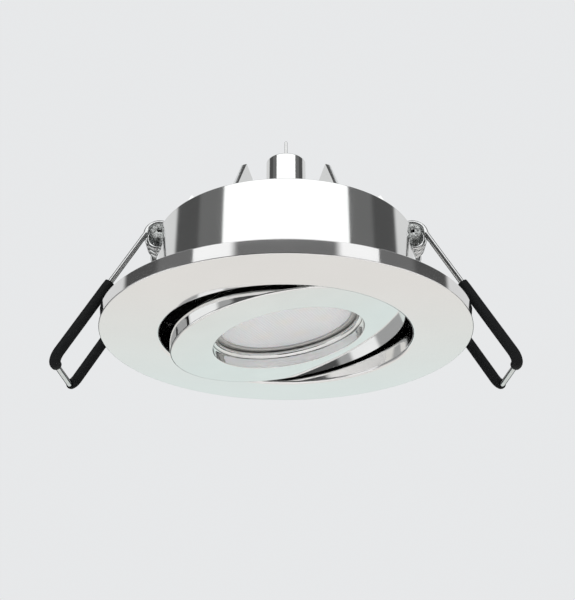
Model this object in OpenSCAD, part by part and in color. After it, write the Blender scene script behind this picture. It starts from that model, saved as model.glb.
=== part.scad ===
// Tilting soffit downlight, held in a round ceiling cut-out by two sprung arms.
// The origin is the centre of the plane where the gasket meets the ceiling, and +Z points up into the void.
// Millimetres throughout.

/* [Trim ring] */
// Outer diameter of the trim ring
trim_d = 90; // [84:1:100]
// Thickness of the trim ring
trim_t = 3.4; // [2.8:0.1:4.4]
// Diameter of the round opening that the lamp tilts in
aperture_d = 61.2; // [60:0.2:64]
// Wall thickness of the collar that stands behind the opening
collar_wall = 0.95; // [0.8:0.05:1.3]
// Height of the collar above the back of the trim
collar_h = 5.1; // [4.6:0.1:6]
// Width of the small bevel on the trim's outer edges
trim_bevel = 0.25; // [0.1:0.05:0.4]

/* [Ceiling gasket] */
// Distance from the can out to the foam ring in the back of the trim
gasket_gap = 1.5; // [1:0.1:4]
// Distance from the trim's rim to the foam ring
gasket_inset = 2.5; // [1.5:0.5:4]
// Thickness of the foam ring
gasket_t = 1.5; // [0.9:0.1:2]
// Height that the foam ring stands proud of the trim's back
gasket_proud = 0.3; // [0.2:0.1:0.6]

/* [Can] */
// Wall thickness of the can
can_wall = 1.05; // [0.9:0.05:1.4]
// Height of the can above the back of the trim
can_h = 22.3; // [22:0.1:26]
// Wall thickness of the two spring pockets
pocket_wall = 1.2; // [0.9:0.1:1.6]
// Width of the ledge that the back cover rests on
ledge_w = 2; // [1.6:0.1:2.6]
// Thickness of that ledge
ledge_t = 0.8; // [0.6:0.1:1.2]
// Diameter of the bosses that take the cover screws
boss_d = 5.8; // [5:0.1:6.4]
// Length of those bosses
boss_h = 8.7; // [8:0.1:10]
// Distance that the bosses stop below the ledge, so that the seal rests on the ledge alone
boss_drop = 0.2; // [0.1:0.1:0.5]

/* [Back cover] */
// Thickness of the cover plate
cover_t = 1.5; // [1.2:0.1:2]
// Thickness of the seal under the cover
cover_seal_t = 0.5; // [0.3:0.1:0.8]
// Number of cooling fins
fin_count = 8; // [8:8:8]
// Thickness of a cooling fin
fin_t = 1.4; // [1:0.1:2]
// Height of a fin's point above the cover
fin_h = 9.6; // [6:0.1:14]
// Distance from the cover's edge in to the fin's point
fin_point_inset = 5.75; // [4:0.25:9]
// Distance from the cover's edge in to the fin's outer foot
fin_foot_inset = 0.5; // [0.3:0.1:1]
// Distance from the connector out to the fin's inner foot
fin_root_gap = 5.6; // [3:0.1:8]

/* [Connector] */
// Diameter of the connector barrel
conn_d = 10.7; // [9.5:0.1:11.5]
// Height of the barrel above the cover
conn_h = 26.1; // [18:0.1:32]
// Diameter of the threaded shank below the barrel
shank_d = 9.2; // [8.6:0.1:9.4]
// Length of the shank that shows below the nut
shank_end = 0.5; // [0.3:0.1:0.8]
// Diameter of the bore that holds the insulator
conn_bore_d = 7.2; // [6.6:0.1:7.6]
// Depth of the insulator below the barrel's end
insulator_recess = 0.6; // [0.2:0.1:2]
// Width of the shank nut across its corners
nut_d = 12.7; // [12:0.1:13]
// Thickness of the shank nut
nut_t = 1.8; // [1.4:0.1:2]
// Diameter of the contact pin
pin_d = 0.8; // [0.6:0.1:1.4]
// Length of the contact pin above the barrel
pin_h = 7.4; // [4:0.1:10]

/* [Lamp head] */
// Height of the tilt axis above the ceiling plane
pivot_z = 1.5; // [1.3:0.1:1.7]
// Turn of the tilt axis about the upright, from straight across
axis_turn = 7.4; // [0:0.1:15]
// Tilt of the lamp at rest, left side down
rest_tilt = 9.7; // [0:0.1:14]
// Radial gap between the tilting ring and the opening
ring_gap = 1.6; // [1.5:0.1:1.9]
// Distance from the tilt axis down to the ring's front face
ring_face = 4.9; // [4.6:0.1:5.2]
// Thickness of the ring's flange
ring_t = 3.5; // [3:0.1:3.7]
// Radius that rounds the ring's outer front edge
ring_round = 0.5; // [0.2:0.1:0.8]
// Width of the ring's flat face, from its edge to its hole
ring_face_w = 10.3; // [10:0.1:12]
// Wall thickness of the tube behind the ring's hole
hub_wall = 2.9; // [2.7:0.1:3]
// Width of the two lugs that take the pivot screws
lug_w = 6; // [5:0.5:8]
// Height of the lugs above the tilt axis
lug_top = 3; // [2.4:0.1:3.6]
// Thickness of the washers between lug and collar
washer_t = 1.3; // [1:0.1:1.3]
// Diameter of those washers
washer_d = 3.8; // [3:0.1:4.2]

/* [Lens and light source] */
// Wire diameter of the snap ring in front of the lens
snap_d = 1.7; // [1.2:0.1:1.8]
// Depth of the snap ring's groove
snap_groove = 0.65; // [0.4:0.05:0.8]
// Opening of the snap ring, in degrees
snap_open = 12; // [6:1:20]
// Width of the bezel ring
bezel_w = 2; // [1.6:0.1:2.8]
// Thickness of the bezel ring
bezel_t = 0.6; // [0.4:0.1:0.8]
// Thickness of the lens
lens_t = 1.9; // [1.5:0.1:2]
// Thickness of the seal behind the lens
lens_seal_t = 0.4; // [0.3:0.1:0.6]
// Depth of the reflector
reflector_h = 3.4; // [3:0.1:3.5]
// Wall of the reflector at its front edge
reflector_front_w = 1.4; // [1:0.1:1.8]
// Wall of the reflector at its back edge
reflector_back_w = 3; // [2.4:0.1:3.2]
// Thickness of the board that holds the light chips
led_board_t = 1; // [0.8:0.1:1.2]
// Number of light chips in the ring
led_count = 6; // [4:1:8]
// Distance from the light board's edge to the ring of light chips
led_ring_inset = 8.9; // [8:0.1:10]
// Side of a light chip
led_side = 3; // [2:0.1:3.5]
// Height of a light chip
led_h = 0.6; // [0.4:0.1:0.8]
// Thickness of the heat-conducting pad
pad_t = 0.3; // [0.2:0.1:0.5]
// Thickness of the heat sink's plate
sink_t = 1.2; // [1:0.1:1.4]
// Height of the heat sink's fins
sink_fin_h = 2.3; // [1:0.1:2.5]
// Thickness of a heat sink fin
sink_fin_t = 1; // [0.8:0.1:1.2]
// Number of heat sink fins
sink_fin_count = 7; // [3:2:7]
// Spacing of the heat sink's fins
sink_fin_pitch = 3.6; // [3:0.1:4]
// Distance from the light board's edge to the area that the heat sink's fins cover
sink_fin_inset = 3.4; // [3.2:0.1:5]
// Distance from the light board's edge to the hole that the lamp leads pass through
lead_hole_edge = 0.4; // [0.3:0.1:0.6]

/* [Driver] */
// Thickness of the driver board
board_t = 1; // [0.8:0.1:1.2]
// Gap between the cover plate and the driver board
board_gap = 2; // [2:0.1:2.1]
// Radial gap between the driver board and the screw bosses
board_edge_gap = 0.4; // [0.3:0.1:0.8]
// Diameter of the hole in the middle of the driver board
board_hole_d = 14; // [13.6:0.1:15]
// Diameter of the capacitor
cap_d = 3.8; // [3:0.1:4]
// Length of the capacitor
cap_len = 8; // [6:0.5:8]
// Diameter of the inductor
coil_core_d = 6.8; // [5:0.1:7]
// Height of the inductor
coil_core_h = 3.4; // [2.6:0.1:3.6]
// Distance from the board's edge in to the middle of both
part_inset = 5.6; // [5:0.1:6.5]
// Thickness of the driver chips
chip_t = 1.2; // [0.8:0.1:1.4]
// Diameter of the inner wires over their insulation
lead_d = 0.9; // [0.6:0.1:1]

/* [Spring arms] */
// Diameter of the spring wire
wire_d = 1.4; // [1:0.1:1.5]
// Radius of the spring coils at the wire's middle
coil_r = 3.3; // [3.2:0.1:3.4]
// Turns in each of the two coils of an arm, a whole number and a half
coil_turns = 3.5; // [2.5:1:3.5]
// Spacing of the turns
coil_pitch = 2.1; // [2:0.05:2.4]
// Depth of the coil's axis inside the can's outer wall
coil_inset = 1.45; // [1.2:0.05:1.8]
// Height of the can's top edge above the coil's axis
coil_drop = 0.8; // [0.6:0.1:1]
// Distance that the arm's wire passes outside the trim's rim at rest
arm_outset = 2.77; // [2.6:0.01:5]
// Length of an arm from the coil to its end bar
arm_len = 38.4; // [34:0.1:44]
// Radius of the bends beside the end bar
arm_bend_r = 2.5; // [2:0.1:3.5]
// Outer diameter of the black sleeves
sleeve_d = 2.6; // [2.3:0.1:2.8]
// Length of the sleeves along the arm
sleeve_len = 22.9; // [15:0.1:30]
// Length of the near sleeve along the end bar
near_sleeve_bar = 3.4; // [2.6:0.1:6]
// Length of the far sleeve along the end bar
far_sleeve_bar = 1.5; // [1:0.1:2.2]

/* [Spring brackets] */
// Thickness of the bracket's plate
bracket_t = 0.8; // [0.6:0.1:1]
// Width of the bracket's plate
bracket_w = 14; // [12:0.5:18]
// Thickness of the tongue between the two coils
tongue_t = 1.6; // [1.2:0.1:2]
// Radius of the tongue's round end
tongue_r = 3.2; // [2.8:0.1:3.4]
// Outer diameter of the tube that carries the coils
tube_d = 4; // [3.6:0.1:4.1]
// Bore of that tube
tube_bore_d = 2.8; // [2:0.1:3]
// Height of the rivets above the pocket's floor
rivet_z = 1.5; // [1.3:0.1:1.8]
// Distance from the bracket's edge to the middle of a rivet
rivet_edge = 2; // [1.6:0.1:3]
// Shank diameter of the rivets
rivet_d = 2; // [1.6:0.1:2.2]
// Head diameter of the rivets
rivet_head_d = 2.2; // [2:0.1:2.6]
// Height of the rivets' heads
rivet_head_h = 0.5; // [0.3:0.1:0.6]

/* [Fasteners] */
// Shank diameter of the pivot screws
pivot_screw_d = 2; // [1.6:0.1:2.2]
// Head diameter of the pivot screws
pivot_head_d = 3; // [2.6:0.1:3.1]
// Head height of the pivot screws
pivot_head_h = 1.05; // [0.8:0.05:1.4]
// Shank diameter of the can screws
can_screw_d = 1.8; // [1.4:0.1:2]
// Head diameter of the can screws
can_head_d = 3.4; // [3:0.1:3.8]
// Head height of the can screws
can_head_h = 1.2; // [0.8:0.1:1.4]
// Shank diameter of the cover screws
cover_screw_d = 2.2; // [1.8:0.1:2.4]
// Length of the cover screws
cover_screw_len = 7; // [6:0.5:8]
// Head diameter of the cover screws
cover_head_d = 4; // [3.6:0.1:4.4]
// Head height of the cover screws
cover_head_h = 1.2; // [0.8:0.1:1.6]
// Shank diameter of the small screws inside
small_screw_d = 1.5; // [1.2:0.1:1.6]
// Head diameter of the small screws
small_head_d = 2.7; // [2.4:0.1:2.8]
// Head height of the small screws
small_head_h = 0.8; // [0.6:0.1:0.9]
// Length of the heat sink screws
sink_screw_len = 5; // [4:0.5:6]

/* [Fits] */
// Slip fit between the can and the collar, and round each fixed shank
slip = 0.05; // [0.02:0.01:0.08]
// Play between parts that lie side by side inside
play = 0.1; // [0.05:0.05:0.2]
// Air between parts that move past each other
air = 0.3; // [0.3:0.05:0.4]
// Air between the coils and the tongue
coil_air = 0.4; // [0.3:0.05:0.5]
// Air between the coils and the pocket's floor
floor_air = 0.7; // [0.6:0.1:1]
// Air between the coils and the bracket's plate
back_air = 0.8; // [0.7:0.1:1]
// Air between the coils and the pocket's side walls
side_air = 0.95; // [0.8:0.05:1.2]

/* [Hidden] */
$fn = 128;

// Every cut runs past its piece by this much
over = 0.5;
// Depth that one shape of a piece sinks into the next, so that the two fuse
bite = 0.2;
// Room left at the blind end of a screw's hole
blind_gap = 0.5;
// Width of a screw head's cross slot, its length and its depth, as shares of the head's radius and height
slot_w_share = 0.33;
slot_len_share = 1.2;
slot_depth_share = 0.5;

// Trim and can
trim_r = trim_d / 2;
aperture_r = aperture_d / 2;
trim_back = -gasket_proud;
trim_front = trim_back - trim_t;
collar_r = aperture_r + collar_wall;
collar_top = trim_back + collar_h;
gasket_out_r = trim_r - gasket_inset;
can_in_r = collar_r + slip;
can_r = can_in_r + can_wall;
gasket_in_r = can_r + gasket_gap;
can_top = trim_back + can_h;
can_screw_z = (trim_back + collar_top) / 2;

// Spring coil and the pocket that it sits in
wire_r = wire_d / 2;
coil_out_r = coil_r + wire_r;
coil_x = can_r - coil_inset;
coil_z = can_top - coil_drop;
coil_in_y = tongue_t / 2 + coil_air + wire_r;
leg_y = coil_in_y + coil_turns * coil_pitch;
pocket_half = leg_y + wire_r + side_air;
plate_x = coil_x - coil_out_r - back_air;
pocket_x = plate_x - bracket_t;
pocket_floor = coil_z - coil_out_r - floor_air;
// Angle between the arm and the upright at rest, so that the wire clears the rim beside its legs
rim_x = sqrt(trim_r * trim_r - leg_y * leg_y);
arm_splay = atan((rim_x + arm_outset - coil_x - coil_r) / (coil_z - trim_back));

// Cover
cover_r = can_in_r - play;
cover_top = can_top;
cover_bottom = cover_top - cover_t;
ledge_top = cover_bottom - cover_seal_t;
boss_r = boss_d / 2;
boss_place_r = can_in_r + bite - boss_r;
boss_turn = 45;
fin_point_r = cover_r - fin_point_inset;
fin_foot_r = cover_r - fin_foot_inset;
fin_root_r = conn_d / 2 + fin_root_gap;
fin_turn = 22.5;

// Connector
conn_r = conn_d / 2;
shank_r = shank_d / 2;
conn_bore_r = conn_bore_d / 2;
conn_top = cover_top + conn_h;
nut_bottom = cover_bottom - nut_t;
shank_bottom = nut_bottom - shank_end;
pin_r = pin_d / 2;
pin_tail = 1;
pin_bottom = shank_bottom - pin_tail;
pin_top = conn_top + pin_h;

// Driver board, with all its parts
board_top = cover_bottom - board_gap;
board_bottom = board_top - board_t;
board_r = boss_place_r - boss_r - board_edge_gap;
board_screw_r = board_r - small_head_d - slip;
standoff_wall = 1.1;
standoff_r = small_screw_d / 2 + standoff_wall;
rivet_r = rivet_d / 2;
rivet_head_r = rivet_head_d / 2;
rivet_pitch = bracket_w - 2 * rivet_edge;
board_flat = pocket_x - pocket_wall - rivet_head_h - air;
part_ring_r = board_r - part_inset;
lead_r = lead_d / 2;
lead_bend_r = 1;
feed_low = board_bottom - lead_d - lead_bend_r;
// Widths of the driver chips, and where their middles lie, both as shares of the board's radius
chip_side_shares = [[0.23, 0.2], [0.16, 0.16], [0.2, 0.12], [0.12, 0.1]];
chip_place_shares = [[0, 0.55], [-0.47, 0.16], [0.47, -0.2], [0.04, -0.51]];

// Tilting ring and what it carries, measured up from the tilt axis
ring_r = aperture_r - ring_gap;
face_d = -ring_face;
flange_back = face_d + ring_t;
hole_r = ring_r - ring_face_w;
hub_r = hole_r + hub_wall;
stack_r = hole_r - air;
bezel_bore_r = stack_r - bezel_w;
led_ring_r = stack_r - led_ring_inset;
snap_r = snap_d / 2;
lens_front = 0;
bezel_front = lens_front - bezel_t;
snap_mid = bezel_front - snap_r;
snap_groove_r = hole_r + snap_groove;
lens_back = lens_front + lens_t;
reflector_front = lens_back + lens_seal_t;
led_board_front = reflector_front + reflector_h;
led_board_back = led_board_front + led_board_t;
sink_front = led_board_back + pad_t;
sink_back = sink_front + sink_t;
sink_r = hub_r - bite;
sink_screw_r = (hole_r + hub_r) / 2;
sink_screw_turns = [60, 120, 240, 300];
led_screw_r = stack_r - reflector_back_w - small_head_d / 2 - air;
lead_hole_r = 1.5;
lead_place_r = stack_r - lead_hole_edge - lead_hole_r;
sink_fin_area_r = stack_r - sink_fin_inset;
lead_half_pitch = 0.6;
small_screw_r = small_screw_d / 2;
pivot_screw_r = pivot_screw_d / 2;
lug_in = hub_r - bite;
pivot_tip = hub_r + hub_wall;
pivot_head_in = can_r + air;

// Sleeves and end bar
sleeve_r = sleeve_d / 2;
sleeve_bore_r = wire_r + slip;
rings_per_turn = 8;
wire_sides = 6;
bend_steps = 4;
tail_len = wire_d;

// Lamp leads: end on the light board, end on the driver board, and the run of the curve between them
lead_sides = 8;
lead_steps = 10;
lead_pull = 3;

// Turns its children into the tilted place of the lamp head
module lamp_place() {
    translate([0, 0, pivot_z])
        rotate([0, 0, axis_turn])
            rotate([0, -rest_tilt, 0])
                children();
}

// Repeats its children round the upright, with count copies that start at turn
module around(count, turn) {
    for (i = [0 : count - 1])
        rotate([0, 0, turn + i * 360 / count])
            children();
}

// Copies its children to the left side by mirroring
module left_side() {
    mirror([1, 0, 0])
        children();
}

// Flat ring between two heights
module ring(out_r, in_r, low, high) {
    difference() {
        translate([0, 0, low])
            cylinder(r = out_r, h = high - low);
        translate([0, 0, low - over])
            cylinder(r = in_r, h = high - low + 2 * over);
    }
}

// Round bar between two heights
module rod(r, low, high) {
    translate([0, 0, low])
        cylinder(r = r, h = high - low);
}

// Round bar along +Y between two distances from the axis
module rod_y(r, near, far) {
    rotate([-90, 0, 0])
        rod(r, near, far);
}

// Round bar along +X between two distances from the axis
module rod_x(r, near, far) {
    rotate([0, 90, 0])
        rod(r, near, far);
}

// Pan head on a shank: the head stands on the plane at zero, and the shank runs down from it
module pan_screw(shank_r, shank_len, head_r, head_h) {
    slot_w = head_r * slot_w_share;
    slot_len = head_r * slot_len_share;
    slot_depth = head_h * slot_depth_share;
    difference() {
        union() {
            cylinder(r = head_r, h = head_h);
            rod(shank_r, -shank_len, bite);
        }
        for (turn = [0, 90])
            rotate([0, 0, turn])
                translate([-slot_len / 2, -slot_w / 2, head_h - slot_depth])
                    cube([slot_len, slot_w, head_h]);
    }
}

// Block of one spring pocket on the right, grown by the given wall and open at the top
module pocket_block(wall, top) {
    translate([pocket_x - wall, -pocket_half - wall, pocket_floor - wall])
        cube([can_r, 2 * (pocket_half + wall), top - pocket_floor + wall]);
}

// Both pocket blocks
module pocket_pair(wall, top) {
    for (turn = [0, 180])
        rotate([0, 0, turn])
            pocket_block(wall, top);
}

// Disc as wide as the can's inside less the inset, with both pockets cut out of it
module cover_disc(inset, low, high) {
    difference() {
        rod(can_in_r - inset, low, high);
        pocket_pair(pocket_wall + inset, high + over);
    }
}

module trim_ring() {
    outline = [
        [aperture_r, trim_front],
        [trim_r - trim_bevel, trim_front],
        [trim_r, trim_front + trim_bevel],
        [trim_r, trim_back - trim_bevel],
        [trim_r - trim_bevel, trim_back],
        [collar_r, trim_back],
        [collar_r, collar_top],
        [aperture_r, collar_top]
    ];
    color("gainsboro")
        difference() {
            rotate_extrude()
                polygon(outline);
            ring(gasket_out_r, gasket_in_r, trim_back + gasket_proud - gasket_t, over);
            translate([0, 0, pivot_z])
                rotate([0, 0, axis_turn])
                    around(2, 0)
                        rod_y(pivot_screw_r + slip, pivot_tip, can_r);
            translate([0, 0, can_screw_z])
                around(4, boss_turn)
                    rod_x(can_screw_d / 2 + slip, ring_r, can_r);
        }
}

module ceiling_gasket() {
    color("dimgray")
        ring(gasket_out_r - slip, gasket_in_r + slip, -gasket_t, 0);
}

// Solids that stand in the can's inside: the pockets' walls, the cover's ledge and the screw bosses
module can_inner_solids() {
    pocket_pair(pocket_wall, can_top);
    difference() {
        rod(can_r, ledge_top - ledge_t, ledge_top);
        difference() {
            rod(can_in_r - ledge_w, ledge_top - ledge_t - over, ledge_top + over);
            pocket_pair(pocket_wall + ledge_w, can_top);
        }
    }
    around(4, boss_turn)
        translate([boss_place_r, 0, 0])
            rod(boss_r, ledge_top - boss_h, ledge_top - boss_drop);
}

module can_housing() {
    color("silver")
        difference() {
            rod(can_r, trim_back, can_top);
            difference() {
                rod(can_in_r, trim_back - over, can_top + over);
                can_inner_solids();
            }
            pocket_pair(0, can_top + over);
            around(4, boss_turn)
                translate([boss_place_r, 0, 0])
                    rod(cover_screw_d / 2 + slip, cover_top - cover_screw_len - blind_gap, ledge_top + over);
            translate([0, 0, pivot_z])
                rotate([0, 0, axis_turn])
                    around(2, 0)
                        rod_y(pivot_screw_r + slip, aperture_r, can_r + over);
            translate([0, 0, can_screw_z])
                around(4, boss_turn)
                    rod_x(can_screw_d / 2 + slip, aperture_r, can_r + over);
            translate([0, 0, pocket_floor + rivet_z])
                around(2, 0)
                    rivet_pair(rivet_r + slip, pocket_x - pocket_wall - over, pocket_x + over);
        }
}

// Two round bars along +X at the rivets' spacing
module rivet_pair(r, near, far) {
    for (side = [-1, 1])
        translate([0, side * rivet_pitch / 2, 0])
            rod_x(r, near, far);
}

module can_screws() {
    color("silver")
        translate([0, 0, can_screw_z])
            around(4, boss_turn)
                translate([can_r, 0, 0])
                    rotate([0, 90, 0])
                        pan_screw(can_screw_d / 2, can_r - aperture_r - slip, can_head_d / 2, can_head_h);
}

module cover_gasket() {
    color("dimgray")
        difference() {
            cover_disc(play, ledge_top, cover_bottom);
            difference() {
                rod(can_in_r - ledge_w + play, ledge_top - over, cover_bottom + over);
                pocket_pair(pocket_wall + ledge_w - play, can_top);
            }
            around(4, boss_turn)
                translate([boss_place_r, 0, 0])
                    rod(cover_screw_d / 2 + play, ledge_top - over, cover_bottom + over);
        }
}

// One upright cooling fin along +X, with its gentle slope inside and its steep slope outside
module cooling_fin() {
    outline = [
        [fin_root_r, cover_top - bite],
        [fin_foot_r, cover_top - bite],
        [fin_foot_r, cover_top],
        [fin_point_r, cover_top + fin_h],
        [fin_root_r, cover_top]
    ];
    rotate([90, 0, 0])
        translate([0, 0, -fin_t / 2])
            linear_extrude(height = fin_t)
                polygon(outline);
}

module back_cover() {
    color("silver")
        difference() {
            union() {
                cover_disc(play, cover_bottom, cover_top);
                difference() {
                    around(fin_count, fin_turn)
                        cooling_fin();
                    pocket_pair(pocket_wall + play, cover_top + fin_h + over);
                }
                around(4, boss_turn)
                    translate([board_screw_r, 0, 0])
                        rod(standoff_r, board_top, cover_bottom + bite);
            }
            rod(shank_r + slip, cover_bottom - over, cover_top + over);
            around(4, boss_turn)
                translate([boss_place_r, 0, 0])
                    rod(cover_screw_d / 2 + play, cover_bottom - over, cover_top + over);
            around(4, boss_turn)
                translate([board_screw_r, 0, 0])
                    rod(small_screw_r + slip, board_top - over, cover_top - cover_t / 2);
        }
}

module cover_screws() {
    color("silver")
        around(4, boss_turn)
            translate([boss_place_r, 0, cover_top])
                pan_screw(cover_screw_d / 2, cover_screw_len, cover_head_d / 2, cover_head_h);
}

module connector_shell() {
    color("gainsboro")
        difference() {
            union() {
                rod(conn_r, cover_top, conn_top);
                rod(shank_r, shank_bottom, cover_top + bite);
            }
            rod(conn_bore_r, shank_bottom - over, conn_top + over);
        }
}

module connector_insulator() {
    color("ivory")
        ring(conn_bore_r - slip, pin_r + slip, shank_bottom, conn_top - insulator_recess);
}

module contact_pin() {
    color("gainsboro") {
        rod(pin_r, pin_bottom, pin_top - pin_r);
        translate([0, 0, pin_top - pin_r])
            intersection() {
                sphere(r = pin_r);
                rod(pin_r, -bite, pin_r);
            }
    }
}

module connector_nut() {
    color("silver")
        difference() {
            translate([0, 0, nut_bottom])
                cylinder(d = nut_d, h = nut_t, $fn = 6);
            rod(shank_r + slip, nut_bottom - over, cover_bottom + over);
        }
}

module driver_board() {
    color("seagreen")
        difference() {
            intersection() {
                rod(board_r, board_bottom, board_top);
                translate([-board_flat, -board_r, board_bottom])
                    cube([2 * board_flat, 2 * board_r, board_t]);
            }
            rod(board_hole_d / 2, board_bottom - over, board_top + over);
            around(4, boss_turn)
                translate([board_screw_r, 0, 0])
                    rod(small_screw_r + slip, board_bottom - over, board_top + over);
        }
}

module driver_board_screws() {
    screw_len = board_t + board_gap + cover_t / 2 - blind_gap;
    color("silver")
        around(4, boss_turn)
            translate([board_screw_r, 0, board_bottom])
                mirror([0, 0, 1])
                    pan_screw(small_screw_r, screw_len, small_head_d / 2, small_head_h);
}

module driver_capacitor() {
    color("midnightblue")
        translate([-cap_len / 2, part_ring_r, board_bottom - cap_d / 2])
            rod_x(cap_d / 2, 0, cap_len);
}

module driver_inductor() {
    color("saddlebrown")
        translate([0, -part_ring_r, 0])
            rod(coil_core_d / 2, board_bottom - coil_core_h, board_bottom);
}

module driver_chips() {
    color("black")
        for (i = [0 : len(chip_side_shares) - 1]) {
            sides = board_r * chip_side_shares[i];
            corner = board_r * chip_place_shares[i] - sides / 2;
            translate([corner.x, corner.y, board_top])
                cube([sides.x, sides.y, chip_t]);
        }
}

// Wire that drops from a height at one place on +Y, runs along +Y and turns up to the board's underside
module hook_lead(start_y, start_z, end_y) {
    translate([0, start_y, 0])
        rod(lead_r, feed_low + lead_bend_r, start_z);
    translate([0, start_y + lead_bend_r, feed_low + lead_bend_r])
        rotate([90, 0, 90])
            rotate_extrude(angle = 90, start = 180)
                translate([lead_bend_r, 0])
                    circle(r = lead_r, $fn = 32);
    translate([0, 0, feed_low])
        rod_y(lead_r, start_y + lead_bend_r, end_y - lead_bend_r);
    translate([0, end_y - lead_bend_r, feed_low + lead_bend_r])
        rotate([90, 0, 90])
            rotate_extrude(angle = 90, start = 270)
                translate([lead_bend_r, 0])
                    circle(r = lead_r, $fn = 32);
    translate([0, end_y, 0])
        rod(lead_r, feed_low + lead_bend_r, board_bottom);
}

module feed_leads() {
    far_y = board_hole_d / 2 + lead_bend_r;
    color("firebrick") {
        hook_lead((shank_r + conn_bore_r) / 2, shank_bottom, far_y);
        rotate([0, 0, 180])
            hook_lead(0, pin_bottom, far_y);
    }
}

// Ring of points about a place, square to the direction dir, with the first point towards ref
function unit(v) = v / norm(v);
function square_to(ref, dir) = unit(ref - (ref * dir) * dir);
function tube_ring(place, dir, ref, r, sides) =
    let (a = square_to(ref, dir), b = cross(dir, a))
    [for (k = [0 : sides - 1]) place + r * (cos(360 * k / sides) * a + sin(360 * k / sides) * b)];

// Mean direction of a path at point i
function path_dir(path, i) =
    let (
        last = len(path) - 1,
        back = unit(path[max(i, 1)] - path[max(i, 1) - 1]),
        ahead = unit(path[min(i, last - 1) + 1] - path[min(i, last - 1)])
    )
    unit(back + ahead);

// Closed tube of triangles along a path, where refs gives each ring its first direction
module tube(path, refs, r, sides) {
    rings = len(path);
    points = [for (i = [0 : rings - 1]) each tube_ring(path[i], path_dir(path, i), refs[i], r, sides)];
    walls = [
        for (i = [0 : rings - 2], k = [0 : sides - 1])
            let (a = i * sides + k, b = i * sides + (k + 1) % sides, c = a + sides, d = b + sides)
            each [[a, c, b], [b, c, d]]
    ];
    start_cap = [for (k = [1 : sides - 2]) [0, k, k + 1]];
    base = (rings - 1) * sides;
    end_cap = [for (k = [1 : sides - 2]) [base, base + k + 1, base + k]];
    polyhedron(points = points, faces = concat(walls, start_cap, end_cap));
}

// Place in the ceiling's frame of a point given in the lamp head's frame
function from_lamp(p) =
    let (
        x = p.x * cos(rest_tilt) - p.z * sin(rest_tilt),
        z = p.x * sin(rest_tilt) + p.z * cos(rest_tilt)
    )
    [x * cos(axis_turn) - p.y * sin(axis_turn), x * sin(axis_turn) + p.y * cos(axis_turn), z + pivot_z];

// Smooth curve from a to b that leaves a along up and reaches b along the upright
function lead_point(a, b, up, t) =
    let (a2 = a + lead_pull * up, b2 = b - [0, 0, lead_pull])
    pow(1 - t, 3) * a + 3 * pow(1 - t, 2) * t * a2 + 3 * (1 - t) * t * t * b2 + pow(t, 3) * b;

module lamp_leads() {
    up = from_lamp([0, 0, 1]) - [0, 0, pivot_z];
    color("firebrick")
        for (side = [-1, 1]) {
            low = from_lamp([side * lead_half_pitch, lead_place_r, led_board_back]);
            high = [side * lead_half_pitch, lead_place_r - lead_hole_r, board_bottom];
            path = [for (i = [0 : lead_steps]) lead_point(low, high, up, i / lead_steps)];
            tube(path, [for (p = path) [1, 0, 0]], lead_r, lead_sides);
        }
}

module gimbal_ring() {
    round_steps = 4;
    front_round = [
        for (i = [0 : round_steps])
            let (turn = -90 + 90 * i / round_steps)
            [ring_r - ring_round + ring_round * cos(turn), face_d + ring_round + ring_round * sin(turn)]
    ];
    outline = concat(
        [[hole_r, face_d]],
        front_round,
        [
            [ring_r, flange_back],
            [hub_r, flange_back],
            [hub_r, sink_front],
            [hole_r, sink_front]
        ]
    );
    color("gainsboro")
        lamp_place()
            difference() {
                union() {
                    rotate_extrude()
                        polygon(outline);
                    intersection() {
                        rod(ring_r, flange_back - bite, lug_top);
                        for (side = [0, 180])
                            rotate([0, 0, side])
                                translate([-lug_w / 2, lug_in, flange_back - bite])
                                    cube([lug_w, ring_r, lug_top - flange_back + bite]);
                    }
                }
                ring(snap_groove_r, hole_r - over, snap_mid - snap_r - slip, snap_mid + snap_r + slip);
                around(2, 0)
                    rod_y(pivot_screw_r + slip, pivot_tip - over, ring_r + over);
                for (turn = sink_screw_turns)
                    rotate([0, 0, turn])
                        translate([sink_screw_r, 0, 0])
                            rod(small_screw_r + slip, sink_front - sink_screw_len, sink_front + over);
            }
}

module pivot_screws() {
    shank_len = pivot_head_in - pivot_tip;
    color("silver")
        lamp_place()
            around(2, 0)
                translate([0, pivot_head_in, 0])
                    rotate([-90, 0, 0])
                        pan_screw(pivot_screw_r, shank_len, pivot_head_d / 2, pivot_head_h);
}

module tilt_washers() {
    color("white")
        lamp_place()
            around(2, 0)
                difference() {
                    rod_y(washer_d / 2, ring_r, ring_r + washer_t);
                    rod_y(pivot_screw_r + slip, ring_r - over, ring_r + washer_t + over);
                }
}

module lens_snap_ring() {
    color("gainsboro")
        lamp_place()
            translate([0, 0, snap_mid])
                rotate([0, 0, -90 + snap_open / 2])
                    rotate_extrude(angle = 360 - snap_open)
                        translate([snap_groove_r - slip - snap_r, 0])
                            circle(r = snap_r, $fn = 32);
}

module lens_bezel() {
    color("darkgray")
        lamp_place()
            ring(stack_r, bezel_bore_r, bezel_front, lens_front);
}

module lens() {
    color("whitesmoke")
        lamp_place()
            rod(stack_r, lens_front, lens_back);
}

module lens_gasket() {
    color("dimgray")
        lamp_place()
            ring(stack_r, stack_r - reflector_front_w, lens_back, reflector_front);
}

module reflector() {
    outline = [
        [stack_r - reflector_front_w, reflector_front],
        [stack_r, reflector_front],
        [stack_r, led_board_front],
        [stack_r - reflector_back_w, led_board_front]
    ];
    color("white")
        lamp_place()
            rotate_extrude()
                polygon(outline);
}

module led_chips() {
    color("gold")
        lamp_place() {
            translate([-led_side / 2, -led_side / 2, led_board_front - led_h])
                cube([led_side, led_side, led_h]);
            around(led_count, 0)
                translate([led_ring_r - led_side / 2, -led_side / 2, led_board_front - led_h])
                    cube([led_side, led_side, led_h]);
        }
}

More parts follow.
